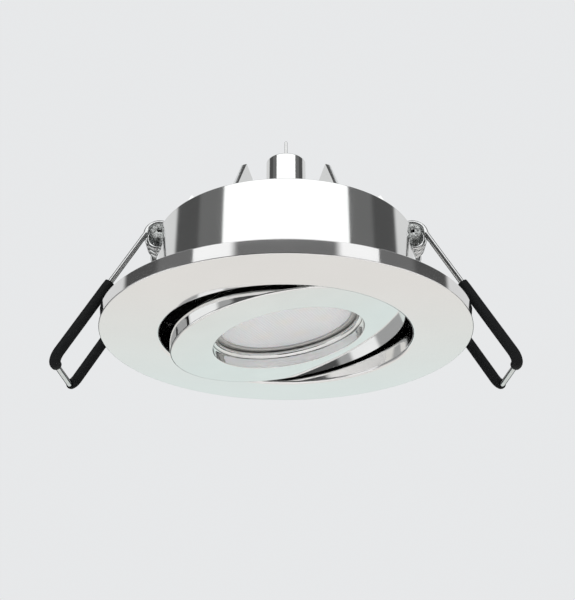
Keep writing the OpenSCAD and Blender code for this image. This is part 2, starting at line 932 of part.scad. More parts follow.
module led_board() {
    color("whitesmoke")
        lamp_place()
            difference() {
                rod(stack_r, led_board_front, led_board_back);
                around(2, fin_turn)
                    translate([led_screw_r, 0, 0])
                        rod(small_screw_r + slip, led_board_front - over, led_board_back + over);
            }
}

module led_board_screws() {
    screw_len = sink_back - led_board_front - slip;
    color("silver")
        lamp_place()
            around(2, fin_turn)
                translate([led_screw_r, 0, led_board_front])
                    mirror([0, 0, 1])
                        pan_screw(small_screw_r, screw_len, small_head_d / 2, small_head_h);
}

module thermal_pad() {
    color("lightgray")
        lamp_place()
            difference() {
                rod(stack_r, led_board_back, sink_front);
                around(2, fin_turn)
                    translate([led_screw_r, 0, 0])
                        rod(small_screw_r + slip, led_board_back - over, sink_front + over);
                translate([0, lead_place_r, 0])
                    rod(lead_hole_r, led_board_back - over, sink_front + over);
            }
}

module heat_sink() {
    color("silver")
        lamp_place()
            difference() {
                union() {
                    rod(sink_r, sink_front, sink_back);
                    intersection() {
                        rod(sink_fin_area_r, sink_front, sink_back + sink_fin_h);
                        for (i = [0 : sink_fin_count - 1])
                            translate([
                                (i - (sink_fin_count - 1) / 2) * sink_fin_pitch - sink_fin_t / 2,
                                -sink_r,
                                sink_back - bite
                            ])
                                cube([sink_fin_t, 2 * sink_r, sink_fin_h + bite]);
                    }
                }
                for (turn = sink_screw_turns)
                    rotate([0, 0, turn])
                        translate([sink_screw_r, 0, 0])
                            rod(small_screw_r + slip, sink_front - over, sink_back + over);
                around(2, fin_turn)
                    translate([led_screw_r, 0, 0])
                        rod(small_screw_r + slip, sink_front - over, sink_back);
                translate([0, lead_place_r, 0])
                    rod(lead_hole_r, sink_front - over, sink_back + sink_fin_h + over);
            }
}

module heat_sink_screws() {
    screw_len = sink_screw_len + sink_t - blind_gap;
    color("silver")
        lamp_place()
            for (turn = sink_screw_turns)
                rotate([0, 0, turn])
                    translate([sink_screw_r, 0, sink_back])
                        pan_screw(small_screw_r, screw_len, small_head_d / 2, small_head_h);
}

// Spring bracket on the right: a plate on the pocket's back wall, and one tongue bored for the spring tube
module spring_bracket() {
    color("darkgray")
        difference() {
            union() {
                translate([pocket_x, -bracket_w / 2, pocket_floor])
                    cube([bracket_t, bracket_w, can_top - pocket_floor]);
                translate([pocket_x, -tongue_t / 2, coil_z - tongue_r])
                    cube([coil_x - pocket_x, tongue_t, 2 * tongue_r]);
                translate([coil_x, 0, coil_z])
                    rod_y(tongue_r, -tongue_t / 2, tongue_t / 2);
            }
            translate([coil_x, 0, coil_z])
                rod_y(tube_d / 2 + slip, -tongue_t, tongue_t);
            translate([0, 0, pocket_floor + rivet_z])
                rivet_pair(rivet_r + slip, pocket_x - over, plate_x + over);
        }
}

module bracket_rivets() {
    color("silver")
        translate([0, 0, pocket_floor + rivet_z]) {
            rivet_pair(rivet_r, pocket_x - pocket_wall, plate_x);
            rivet_pair(rivet_head_r, pocket_x - pocket_wall - rivet_head_h, pocket_x - pocket_wall);
            rivet_pair(rivet_head_r, plate_x, plate_x + rivet_head_h);
        }
}

module spring_tube() {
    color("lightgray")
        translate([coil_x, 0, coil_z])
            difference() {
                rod_y(tube_d / 2, air - pocket_half, pocket_half - air);
                rod_y(tube_bore_d / 2, -pocket_half, pocket_half);
            }
}

// Half of a spring's wire, from the inner end of the near coil to the middle of the end bar.
// Each entry is a point and the direction that the wire's first side faces.
coil_rings = rings_per_turn * coil_turns;
first_turn = 360 * coil_turns;
arm_dir = [sin(arm_splay), 0, -cos(arm_splay)];
arm_side = [cos(arm_splay), 0, sin(arm_splay)];
function round_way(turn) = [cos(turn), 0, sin(turn)];
function coil_entry(i) =
    let (turn = first_turn * (1 - i / coil_rings))
    [coil_r * round_way(turn) - [0, coil_in_y + (leg_y - coil_in_y) * i / coil_rings, 0], round_way(turn)];
tail_entry = [
    coil_entry(0)[0] - tail_len * [sin(first_turn), 0, -cos(first_turn)],
    round_way(first_turn)
];
function bend_entry(i) =
    let (turn = 90 * i / bend_steps)
    [
        [coil_r, -leg_y, 0]
            + (arm_len - arm_bend_r + arm_bend_r * sin(turn)) * arm_dir
            + [0, arm_bend_r * (1 - cos(turn)), 0],
        arm_side
    ];
half_wire = concat(
    [tail_entry],
    [for (i = [0 : coil_rings]) coil_entry(i)],
    [for (i = [0 : bend_steps]) bend_entry(i)]
);
half_count = len(half_wire);
function over_middle(p) = [p.x, -p.y, p.z];
wire_path = concat(
    [for (e = half_wire) e[0]],
    [for (i = [1 : half_count]) over_middle(half_wire[half_count - i][0])]
);
wire_refs = concat(
    [for (e = half_wire) e[1]],
    [for (i = [1 : half_count]) half_wire[half_count - i][1]]
);
// Least gap between parts of the wire that aren't neighbours along it
wire_gap = min([
    for (i = [0 : half_count - 1], j = [i + rings_per_turn / 2 : len(wire_path) - 1])
        norm(wire_path[i] - wire_path[j])
]) - wire_d;

module spring_wire() {
    echo(least_gap_of_the_spring_wire = wire_gap);
    color("gainsboro")
        translate([coil_x, 0, coil_z])
            tube(wire_path, wire_refs, wire_r, wire_sides);
}

// Straight run, bend and short stub of one sleeve in the arm's own plane, on the -Y leg
module sleeve_run(r, along_bar, extra) {
    turned = along_bar < arm_bend_r ? acos(1 - along_bar / arm_bend_r) : 90;
    stub = max(0, along_bar - arm_bend_r);
    translate([0, -leg_y, 0])
        rod(r, arm_bend_r - arm_len, sleeve_len - arm_len + extra);
    translate([0, arm_bend_r - leg_y, arm_bend_r - arm_len])
        rotate([90, 0, 90])
            rotate_extrude(angle = turned, start = 180)
                translate([arm_bend_r, 0])
                    circle(r = r, $fn = 32);
    if (stub > 0)
        translate([0, 0, -arm_len])
            rod_y(r, arm_bend_r - leg_y, arm_bend_r - leg_y + stub + extra);
}

module arm_sleeve(along_bar) {
    color([0.06, 0.06, 0.06])
        translate([coil_x + coil_r, 0, coil_z])
            rotate([0, -arm_splay, 0])
                difference() {
                    sleeve_run(sleeve_r, along_bar, 0);
                    sleeve_run(sleeve_bore_r, along_bar, over);
                }
}

module near_sleeve() {
    arm_sleeve(near_sleeve_bar);
}

module far_sleeve() {
    mirror([0, 1, 0])
        arm_sleeve(far_sleeve_bar);
}

trim_ring();
ceiling_gasket();
can_housing();
can_screws();
back_cover();
cover_gasket();
cover_screws();
connector_shell();
connector_insulator();
contact_pin();
connector_nut();
driver_board();
driver_board_screws();
driver_capacitor();
driver_inductor();
driver_chips();
feed_leads();
lamp_leads();
gimbal_ring();
pivot_screws();
tilt_washers();
lens_snap_ring();
lens_bezel();
lens();
lens_gasket();
reflector();
led_chips();
led_board();
led_board_screws();
thermal_pad();
heat_sink();
heat_sink_screws();
left_side() spring_bracket();  // left_spring_bracket
left_side() bracket_rivets();  // left_bracket_rivets
left_side() spring_tube();  // left_spring_tube
left_side() spring_wire();  // left_spring_wire
left_side() near_sleeve();  // left_near_sleeve
left_side() far_sleeve();  // left_far_sleeve
spring_bracket();  // right_spring_bracket
bracket_rivets();  // right_bracket_rivets
spring_tube();  // right_spring_tube
spring_wire();  // right_spring_wire
near_sleeve();  // right_near_sleeve
far_sleeve();  // right_far_sleeve
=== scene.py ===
import math

import bmesh
import bpy
from bpy.props import FloatProperty, FloatVectorProperty, IntProperty, PointerProperty
from mathutils import Matrix, Vector


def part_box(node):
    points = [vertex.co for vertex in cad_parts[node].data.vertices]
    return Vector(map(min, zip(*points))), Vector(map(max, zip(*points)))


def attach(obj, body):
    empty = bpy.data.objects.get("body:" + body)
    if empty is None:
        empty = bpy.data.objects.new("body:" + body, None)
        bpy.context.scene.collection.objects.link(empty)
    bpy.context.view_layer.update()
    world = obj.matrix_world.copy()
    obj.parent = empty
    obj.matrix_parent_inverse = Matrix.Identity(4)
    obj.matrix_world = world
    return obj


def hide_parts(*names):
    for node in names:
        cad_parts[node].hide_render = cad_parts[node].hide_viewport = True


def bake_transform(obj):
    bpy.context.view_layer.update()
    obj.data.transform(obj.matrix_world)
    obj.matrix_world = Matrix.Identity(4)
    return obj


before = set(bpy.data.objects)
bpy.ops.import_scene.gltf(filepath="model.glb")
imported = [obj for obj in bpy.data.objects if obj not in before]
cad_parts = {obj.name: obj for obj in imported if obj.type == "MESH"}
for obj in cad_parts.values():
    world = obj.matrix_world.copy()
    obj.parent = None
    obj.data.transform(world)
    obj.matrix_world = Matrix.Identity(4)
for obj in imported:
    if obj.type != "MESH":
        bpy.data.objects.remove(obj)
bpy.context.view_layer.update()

bl_info = {
    "name": "Tilting Soffit Downlight",
    "version": (1, 0, 0),
    "blender": (4, 5, 0),
    "location": "3D View > Sidebar > Downlight",
    "description": "Dresses the frame of a tilting downlight with smooth metalwork, springs, lens and stage",
    "category": "Object",
}

MM = 0.001
FULL = 2 * math.pi
SMALLEST = 1e-7
SIDES = (-1, 1)
LEFT_AND_RIGHT = (("left", -1), ("right", 1))
FLIPPED = Matrix.Diagonal((-1, 1, 1, 1))
UNMOVED = Matrix.Identity(4)

# Clearance between parts that fit together, and how far a cutting block reaches past what it cuts
CLEARANCE = 0.05 * MM
PAST = 5 * MM

# Distances from the upright of the cover's screws, of the driver board's posts, and of the seats that
# the pivot screws' heads rest on
SCREW_CIRCLE = 28.9 * MM
POST_CIRCLE = 22.85 * MM
PIVOT_SEAT = 32.95 * MM

# Height of the can's side screws
SIDE_SCREW_HEIGHT = 2.25 * MM

# Shank radius, shank length, head radius and head height of each kind of screw
COVER_SCREW = (1.1 * MM, 7 * MM, 2 * MM, 1.2 * MM)
SIDE_SCREW = (0.9 * MM, 2.0 * MM, 1.7 * MM, 1.2 * MM)
PIVOT_SCREW = (1.0 * MM, 8.4 * MM, 1.5 * MM, 1.05 * MM)


# Sizes read from the frame, in millimetres


def low_of(node):
    """Lowest corner of a frame node, in millimetres."""
    return Vector(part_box(node)[0]) / MM


def high_of(node):
    """Highest corner of a frame node, in millimetres."""
    return Vector(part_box(node)[1]) / MM


def length(title, millimetres, description):
    """A length that the user can change, kept in metres."""
    return FloatProperty(
        name=title,
        description=description,
        default=millimetres * MM,
        precision=5,
        subtype="DISTANCE",
        unit="LENGTH",
    )


def angle(title, degrees, description):
    """An angle that the user can change."""
    return FloatProperty(
        name=title, description=description, default=math.radians(degrees), subtype="ANGLE", unit="ROTATION"
    )


def colour(title, rgb, description):
    """A colour that the user can change."""
    return FloatVectorProperty(
        name=title, description=description, default=rgb, size=3, min=0.0, max=1.0, subtype="COLOR"
    )


def share(title, value, description):
    """A number from nought to one that the user can change."""
    return FloatProperty(
        name=title, description=description, default=value, min=0.0, max=1.0, subtype="FACTOR"
    )


class TrimSizes(bpy.types.PropertyGroup):
    """Sizes of the trim ring and the can."""

    rim_radius: length("Rim Radius", high_of("trim_ring").x, "Outer radius of the trim ring")
    face: length("Face Height", low_of("trim_ring").z, "Height of the trim's front face")
    back: length("Back Height", -0.3, "Height of the trim's back face")
    aperture: length("Aperture Radius", 30.6, "Radius of the opening that the lamp tilts in")
    aperture_round: length("Aperture Round", 0.8, "Radius that rounds the opening's front edge")
    rim_lean: length("Rim Lean", 0.1, "Distance that the rim leans in towards the front face")
    rim_round: length("Rim Round", 0.22, "Radius that rounds the rim's two edges")
    collar: length("Collar Radius", 31.55, "Outer radius of the collar behind the opening")
    collar_top: length("Collar Height", high_of("trim_ring").z, "Height of the collar's back edge")
    foam_out: length("Foam Outer Radius", high_of("ceiling_gasket").x, "Outer radius of the foam ring")
    foam_in: length("Foam Inner Radius", 34.2, "Inner radius of the foam ring")
    foam_low: length("Foam Depth", low_of("ceiling_gasket").z, "Height of the foam ring's front face")
    can_radius: length("Can Radius", high_of("can_housing").x, "Outer radius of the can")
    can_bore: length("Can Bore Radius", 31.6, "Inner radius of the can")
    can_top: length("Can Height", high_of("can_housing").z, "Height of the can's back edge")
    can_round: length("Can Edge Round", 0.2, "Radius that rounds the can's back edge")


class CoverSizes(bpy.types.PropertyGroup):
    """Sizes of the spring pockets, the finned cover and the connector."""

    pocket_back: length("Pocket Back", 25.6, "Distance of a pocket's back wall from the upright")
    pocket_half: length("Pocket Half Width", 10.9, "Half of a pocket's width")
    pocket_floor: length("Pocket Floor", 16.5, "Height of a pocket's floor")
    pocket_wall: length("Pocket Wall", 1.2, "Thickness of a pocket's walls")
    plate: length("Plate Thickness", 1.5, "Thickness of the cover plate")
    plate_radius: length("Plate Radius", 31.5, "Radius of the cover plate")
    fins: IntProperty(name="Fins", description="Number of cooling fins", default=8, min=2, max=24)
    fin_thick: length("Fin Thickness", 1.4, "Thickness of a cooling fin")
    fin_root: length("Fin Root", 10.95, "Distance of a fin's inner foot from the upright")
    fin_point: length("Fin Point", 25.75, "Distance of a fin's point from the upright")
    fin_foot: length("Fin Foot", 31.0, "Distance of a fin's outer foot from the upright")
    fin_top: length("Fin Height", 31.6, "Height of a fin's point")
    barrel: length("Barrel Radius", high_of("connector_shell").x, "Radius of the connector barrel")
    barrel_top: length("Barrel Height", high_of("connector_shell").z, "Height of the barrel's end")
    bore: length("Barrel Bore", 3.6, "Radius of the barrel's bore")
    shank: length("Shank Radius", 4.6, "Radius of the shank below the barrel")
    shank_low: length("Shank End", low_of("connector_shell").z, "Height of the shank's lower end")
    insulator_top: length(
        "Insulator Height", high_of("connector_insulator").z, "Height of the insulator's face"
    )
    pin: length("Pin Radius", high_of("contact_pin").x, "Radius of the contact pin")
    pin_low: length("Pin Tail", low_of("contact_pin").z, "Height of the pin's lower end")
    pin_top: length("Pin Height", high_of("contact_pin").z, "Height of the pin's tip")


class LampSizes(bpy.types.PropertyGroup):
    """Sizes of the tilting lamp head, with depths measured from the tilt axis."""

    pivot: length("Pivot Height", 1.5, "Height of the tilt axis")
    turn: angle("Axis Turn", 7.4, "Turn of the tilt axis about the upright")
    tilt: angle("Tilt at Rest", 9.7, "Tilt of the lamp head at rest")
    ring: length("Ring Radius", 29.0, "Outer radius of the tilting ring")
    ring_face: length("Ring Face", -4.9, "Depth of the ring's front face")
    ring_back: length("Ring Back", -1.4, "Depth of the ring's back face")
    ring_round: length("Ring Round", 0.5, "Radius that rounds the ring's outer front edge")
    hole: length("Hole Radius", 18.7, "Radius of the hole in the ring")
    hub: length("Hub Radius", 21.6, "Outer radius of the tube behind the hole")
    hub_back: length("Hub Back", 7.0, "Depth of that tube's back edge")
    groove: length("Groove Radius", 19.35, "Radius of the snap ring's groove")
    lug_half: length("Lug Half Width", 3.0, "Half of a pivot lug's width")
    lug_top: length("Lug Height", 3.0, "Depth of a pivot lug's back edge")
    snap: length("Snap Ring Middle", 18.45, "Radius of the snap ring at the wire's middle")
    snap_wire: length("Snap Ring Wire", 0.85, "Radius of the snap ring's wire")
    snap_depth: length("Snap Ring Depth", -1.45, "Depth of the snap ring's middle")
    snap_gap: angle("Snap Ring Gap", 12.0, "Opening of the snap ring")
    bezel: length("Bezel Bore", 16.4, "Inner radius of the bezel ring")
    bezel_face: length("Bezel Face", -0.6, "Depth of the bezel's front face")
    stack: length("Lens Radius", 18.4, "Radius of the lens and of the rings behind it")
    lens_back: length("Lens Back", 1.9, "Depth of the lens's back face")
    prism: length("Prism Pitch", 0.7, "Spacing of the lens's prism rows")
    prism_depth: length("Prism Depth", 0.06, "Depth of the lens's prism rows")
    chip_ring: length("Chip Ring", 9.5, "Radius of the ring of light chips")
    chip: length("Chip Side", 3.0, "Side of a light chip")
    board_face: length("Board Face", 5.7, "Depth of the light board's face")
    sink_back: length("Heat Sink Back", 8.4, "Depth at which the leads are clear of the heat sink's plate")
    lead_place: length("Lead Place", 16.5, "Distance of the lamp leads from the lamp's axis")


class SpringSizes(bpy.types.PropertyGroup):
    """Sizes of the sprung arms."""

    coil_x: length("Coil Distance", 31.2, "Distance of the coil's axis from the upright")
    coil_z: length("Coil Height", 21.2, "Height of the coil's axis")
    coil_radius: length("Coil Radius", 3.3, "Radius of the coils at the wire's middle")
    wire: length("Wire Radius", 0.7, "Radius of the spring wire")
    inner: length("Coil Start", 1.9, "Distance of the coils' inner ends from the arm's middle")
    leg: length("Leg Distance", 9.25, "Distance of the legs from the arm's middle")
    turns: FloatProperty(name="Turns", description="Turns in each coil", default=3.5, min=0.5, max=9.5)
    splay: angle("Splay", 29.79, "Angle between the arm and the upright")
    arm: length("Arm Length", 38.4, "Length of an arm from the coil to its end bar")
    bend: length("Bend Radius", 2.5, "Radius of the bends beside the end bar")
    tail: length("Tail Length", 1.4, "Length of the straight tail at the coil's inner end")
    sleeve: length("Sleeve Radius", 1.3, "Outer radius of the black sleeves")
    sleeve_bore: length("Sleeve Bore", 0.75, "Inner radius of the black sleeves")
    sleeve_run: length("Sleeve Run", 22.9, "Length of the sleeves along the arm")
    near_stub: length("Near Sleeve Stub", 3.4, "Length of the near sleeve along the end bar")
    far_stub: length("Far Sleeve Stub", 1.5, "Length of the far sleeve along the end bar")
    tube: length("Tube Radius", 2.0, "Outer radius of the tube that carries the coils")
    tube_bore: length("Tube Bore", 0.35, "Inner radius of that tube")
    tube_half: length("Tube Half Length", 10.6, "Half of that tube's length")
    bracket: length("Bracket Thickness", 0.8, "Thickness of the bracket's plate")
    tongue: length("Tongue Half Thickness", 0.8, "Half of the tongue's thickness")
    tongue_radius: length("Tongue Radius", 3.2, "Radius of the tongue's round end")


class StageSizes(bpy.types.PropertyGroup):
    """Sizes and levels of the stage."""

    floor_drop: length("Floor Drop", 250.0, "Distance of the floor below the ceiling plane")
    floor_side: length("Floor Side", 40000.0, "Side of the floor")
    card_distance: length("Card Distance", 3000.0, "Distance of the reflector cards")
    card_blur: FloatProperty(
        name="Card Blur",
        description="Degrees over which a card's tones run together",
        default=6.0,
        min=0.5,
        max=20.0,
    )
    flag_distance: length("Flag Distance", 1300.0, "Distance of the dark flags")
    under_distance: length("Under Distance", 400.0, "Distance of the card under the lamp")
    glow_half: length("Glow Half Width", 1400.0, "Half of the width of the glow above the floor")
    glow_drop: length("Glow Drop", 240.0, "Distance of that glow below the ceiling plane")
    camera_back: length("Camera Back", 189.48, "Distance of the camera in front of the lamp")
    camera_drop: length("Camera Drop", 82.03, "Distance of the camera below the ceiling plane")
    camera_rise: angle("Camera Rise", 25.28, "Angle that the camera looks up at")
    lens: FloatProperty(
        name="Camera Lens", description="Focal length of the camera", default=50.37, min=10.0, unit="CAMERA"
    )
    shift: FloatProperty(name="Camera Shift", description="Sideways shift of the picture", default=0.0025)
    backdrop: colour("Backdrop", (0.80, 0.81, 0.82), "Plain colour behind the lamp")
    floor: colour("Floor", (0.76, 0.745, 0.735), "Colour of the floor")
    day: share("Daylight", 0.70, "Level of the even light on dull surfaces")


class FinishColours(bpy.types.PropertyGroup):
    """Colours of the finishes."""

    trim: colour("Trim", (0.90, 0.90, 0.90), "Polished aluminium of the trim ring")
    chrome: colour("Chrome", (0.88, 0.89, 0.885), "Bright plating of the can and rings")
    spring: colour("Spring", (0.74, 0.75, 0.75), "Drawn steel of the spring wires")
    plated: colour("Plated Steel", (0.66, 0.68, 0.67), "Satin plating of brackets and screws")
    bezel: colour("Bezel", (0.55, 0.55, 0.54), "Satin ring round the lens")
    lens: colour("Lens", (0.725, 0.735, 0.75), "Frosted lens")
    # Colour of the painted warm spots on the lens, which stand in for the chips seen through it by passing
    # light.
    glow: colour("Chip Glow", (0.78, 0.68, 0.52), "Chips seen through the frosted lens")
    sleeve: colour("Sleeve", (0.0075, 0.008, 0.0085), "Black sleeves")
    foam: colour("Foam", (0.035, 0.035, 0.036), "Foam rings")
    ivory: colour("Insulator", (0.78, 0.72, 0.58), "Moulded insulator")
    white: colour("White Parts", (0.80, 0.80, 0.78), "White moulded parts")
    board: colour("Board", (0.0015, 0.005, 0.003), "Coated driver board")
    copper: colour("Winding", (0.45, 0.17, 0.06), "Enamelled copper winding")
    lead: colour("Leads", (0.38, 0.012, 0.010), "Red wire insulation")
    phosphor: colour("Phosphor", (0.85, 0.60, 0.08), "Yellow face of the light chips")


GROUPS = {
    "downlight_trim": TrimSizes,
    "downlight_cover": CoverSizes,
    "downlight_lamp": LampSizes,
    "downlight_spring": SpringSizes,
    "downlight_stage": StageSizes,
    "downlight_colours": FinishColours,
}


# Mesh shapes


def turned(shape, outline, parts=192, sweep=FULL):
    """Turn a closed outline of (radius, height) points about the upright."""
    whole = abs(sweep - FULL) < SMALLEST
    rows = [
        [shape.verts.new((r * math.cos(turn), r * math.sin(turn), z)) for r, z in outline]
        for turn in (sweep * i / parts for i in range(parts if whole else parts + 1))
    ]
    for i in range(parts):
        row, after = rows[i], rows[(i + 1) % len(rows)]
        for j in range(len(outline)):
            k = (j + 1) % len(outline)
            shape.faces.new((row[j], after[j], after[k], row[k]))
    if not whole:
        shape.faces.new(rows[0])
        shape.faces.new(rows[-1])
    if min(r for r, z in outline) < SMALLEST:
        bmesh.ops.remove_doubles(shape, verts=shape.verts[:], dist=SMALLEST)
        bmesh.ops.dissolve_degenerate(shape, edges=shape.edges[:], dist=SMALLEST)
    bmesh.ops.recalc_face_normals(shape, faces=shape.faces[:])
    return shape


def eased(outline, rounds, steps=4):
    """Round the corners of a closed outline. rounds is one radius, or one for each corner."""
    points = [Vector(p) for p in outline]
    if not isinstance(rounds, (list, tuple)):
        rounds = [rounds] * len(points)
    result = []
    for i, corner in enumerate(points):
        back = points[i - 1] - corner
        ahead = points[(i + 1) % len(points)] - corner
        half = back.angle(ahead) / 2
        cut = min(rounds[i] / math.tan(half), back.length * 0.49, ahead.length * 0.49)
        if cut < SMALLEST or half > 1.55:
            result.append(tuple(corner))
            continue
        reach = cut / math.cos(half)
        middle = corner + (back.normalized() + ahead.normalized()).normalized() * reach
        start = corner + back.normalized() * cut - middle
        end = corner + ahead.normalized() * cut - middle
        first = math.atan2(start.y, start.x)
        swing = (math.atan2(end.y, end.x) - first + math.pi) % FULL - math.pi
        radius = start.length
        for step in range(steps + 1):
            turn = first + swing * step / steps
            result.append((middle.x + radius * math.cos(turn), middle.y + radius * math.sin(turn)))
    return result


def across_path(path):
    """A direction square to the path at each of its points, which never twists."""
    tangents = []
    for i, point in enumerate(path):
        ahead = path[min(i + 1, len(path) - 1)] - path[max(i - 1, 0)]
        tangents.append(ahead.normalized())
    side = tangents[0].orthogonal().normalized()
    sides = []
    for tangent in tangents:
        side = (side - tangent * side.dot(tangent)).normalized()
        sides.append((side.copy(), tangent.cross(side)))
    return tangents, sides


def drawn(shape, path, radius, sides=16, bore=0.0):
    """Sweep a round section along a path. A bore makes it hollow, and solid ends are eased."""
    path = [Vector(p) for p in path]
    tangents, axes = across_path(path)

    def ring(place, pair, r):
        turns = (FULL * k / sides for k in range(sides))
        return [shape.verts.new(place + r * (math.cos(a) * pair[0] + math.sin(a) * pair[1])) for a in turns]

    ease = 0.28 * (radius - bore)
    inset = [(ease, -1.0), (0.3 * ease, -0.3)]
    start = [ring(path[0] + tangents[0] * (ease * (1 + b)), axes[0], radius - a) for a, b in inset]
    body = [ring(p, pair, radius) for p, pair in zip(path[1:-1], axes[1:-1])]
    end = [ring(path[-1] - tangents[-1] * (ease * (1 + b)), axes[-1], radius - a) for a, b in reversed(inset)]
    rings = start + body + end
    if bore:
        inside = [ring(p, pair, bore) for p, pair in zip(path, axes)]
        rings = rings + inside[::-1]
        rings.append(rings[0])
    for one, two in zip(rings, rings[1:]):
        for k in range(sides):
            shape.faces.new((one[k], one[(k + 1) % sides], two[(k + 1) % sides], two[k]))
    if not bore:
        shape.faces.new(rings[0])
        shape.faces.new(rings[-1])
    bmesh.ops.recalc_face_normals(shape, faces=shape.faces[:])
    return shape


def tube(inner, outer, low, high, rounds, parts=192, steps=4):
    """Tube about the upright, with eased edges."""
    outline = [(inner, low), (outer, low), (outer, high), (inner, high)]
    return turned(bmesh.new(), eased(outline, rounds, steps), parts)


def rod(radius, low, high, parts):
    """Plain round rod about the upright, which cuts holes."""
    return turned(bmesh.new(), [(0.0, low), (radius, low), (radius, high), (0.0, high)], parts)


def slab(outline, low, high, ease=0.0):
    """Raise a flat outline of (x, y) points from low to high, with eased edges."""
    shape = bmesh.new()
    base = [shape.verts.new((x, y, low)) for x, y in outline]
    top = [shape.verts.new((x, y, high)) for x, y in outline]
    count = len(outline)
    faces = [shape.faces.new(base), shape.faces.new(top)]
    for i in range(count):
        j = (i + 1) % count
        faces.append(shape.faces.new((base[i], base[j], top[j], top[i])))
    bmesh.ops.recalc_face_normals(shape, faces=faces)
    if ease:
        sharp = [e for f in faces for e in f.edges if e.calc_face_angle(0.0) > 0.6]
        bmesh.ops.bevel(shape, geom=list(set(sharp)), offset=ease, segments=2, profile=0.6, affect="EDGES")
    return shape


def box_shape(low, high, ease=0.0):
    """Block between two corners, with eased edges."""
    low, high = Vector(low), Vector(high)
    corners = [(low.x, low.y), (high.x, low.y), (high.x, high.y), (low.x, high.y)]
    return slab(corners, low.z, high.z, ease)


def gathered(shapes):
    """Put several shapes into one."""
    whole = bmesh.new()
    for shape in shapes:
        passing = bpy.data.meshes.new("passing")
        shape.to_mesh(passing)
        whole.from_mesh(passing)
        bpy.data.meshes.remove(passing)
        shape.free()
    return whole


def copied(shape, places):
    """Put a copy of a shape at each of several places."""
    passing = bpy.data.meshes.new("passing")
    shape.to_mesh(passing)
    shape.free()
    whole = bmesh.new()
    for place in places:
        copy = passing.copy()
        copy.transform(place)
        if place.determinant() < 0:
            copy.flip_normals()
        whole.from_mesh(copy)
        bpy.data.meshes.remove(copy)
    bpy.data.meshes.remove(passing)
    return whole


def combined(shape, others, operation="DIFFERENCE"):
    """Cut other shapes out of one, or keep what they share with it."""
    made = []

    def held(part):
        mesh = bpy.data.meshes.new("held")
        part.to_mesh(mesh)
        part.free()
        thing = bpy.data.objects.new("held", mesh)
        bpy.context.scene.collection.objects.link(thing)
        made.append(thing)
        return thing

    target = held(shape)
    for other in others:
        change = target.modifiers.new("change", "BOOLEAN")
        change.operation = operation
        change.solver = "EXACT"
        change.object = held(other)
    result = bmesh.new()
    result.from_object(target, bpy.context.evaluated_depsgraph_get())
    for thing in made:
        mesh = thing.data
        bpy.data.objects.remove(thing)
        bpy.data.meshes.remove(mesh)
    return result


def spun(degrees, axis):
    """Matrix of a turn about an axis."""
    return Matrix.Rotation(math.radians(degrees), 4, axis)


def moved(x, y, z):
    """Matrix of a move."""
    return Matrix.Translation((x, y, z))


def lamp_place():
    """Matrix that puts the lamp head's own space into its tilted place."""
    s = bpy.context.scene.downlight_lamp
    return moved(0, 0, s.pivot) @ Matrix.Rotation(s.turn, 4, "Z") @ Matrix.Rotation(-s.tilt, 4, "Y")


def round_places(count, start, distance=0.0, height=0.0):
    """Matrices for copies set round the upright at equal steps, start in degrees."""
    return [spun(start + 360 * i / count, "Z") @ moved(distance, 0, height) for i in range(count)]


def four_places(distance, height=0.0):
    """Matrices for four screws, bosses or posts, halfway between the part's main directions."""
    return round_places(4, 45, distance, height)


def add_piece(name, shape, finish, body, nodes=(), place=None, crease=32.0):
    """Make a piece from a shape, and let it ride on its body, if one is given, in place of its nodes."""
    mesh = bpy.data.meshes.new(name)
    shape.to_mesh(mesh)
    shape.free()
    for face in mesh.polygons:
        face.use_smooth = True
    mesh.set_sharp_from_angle(angle=math.radians(crease))
    mesh.materials.append(FINISHES[finish]())
    piece = bpy.data.objects.new(name, mesh)
    bpy.context.scene.collection.objects.link(piece)
    if place is not None:
        piece.matrix_world = place
    even = piece.modifiers.new("even_normals", "WEIGHTED_NORMAL")
    even.keep_sharp = True
    if body is not None:
        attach(piece, body)
    if nodes:
        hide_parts(*nodes)
    return piece


# Finishes


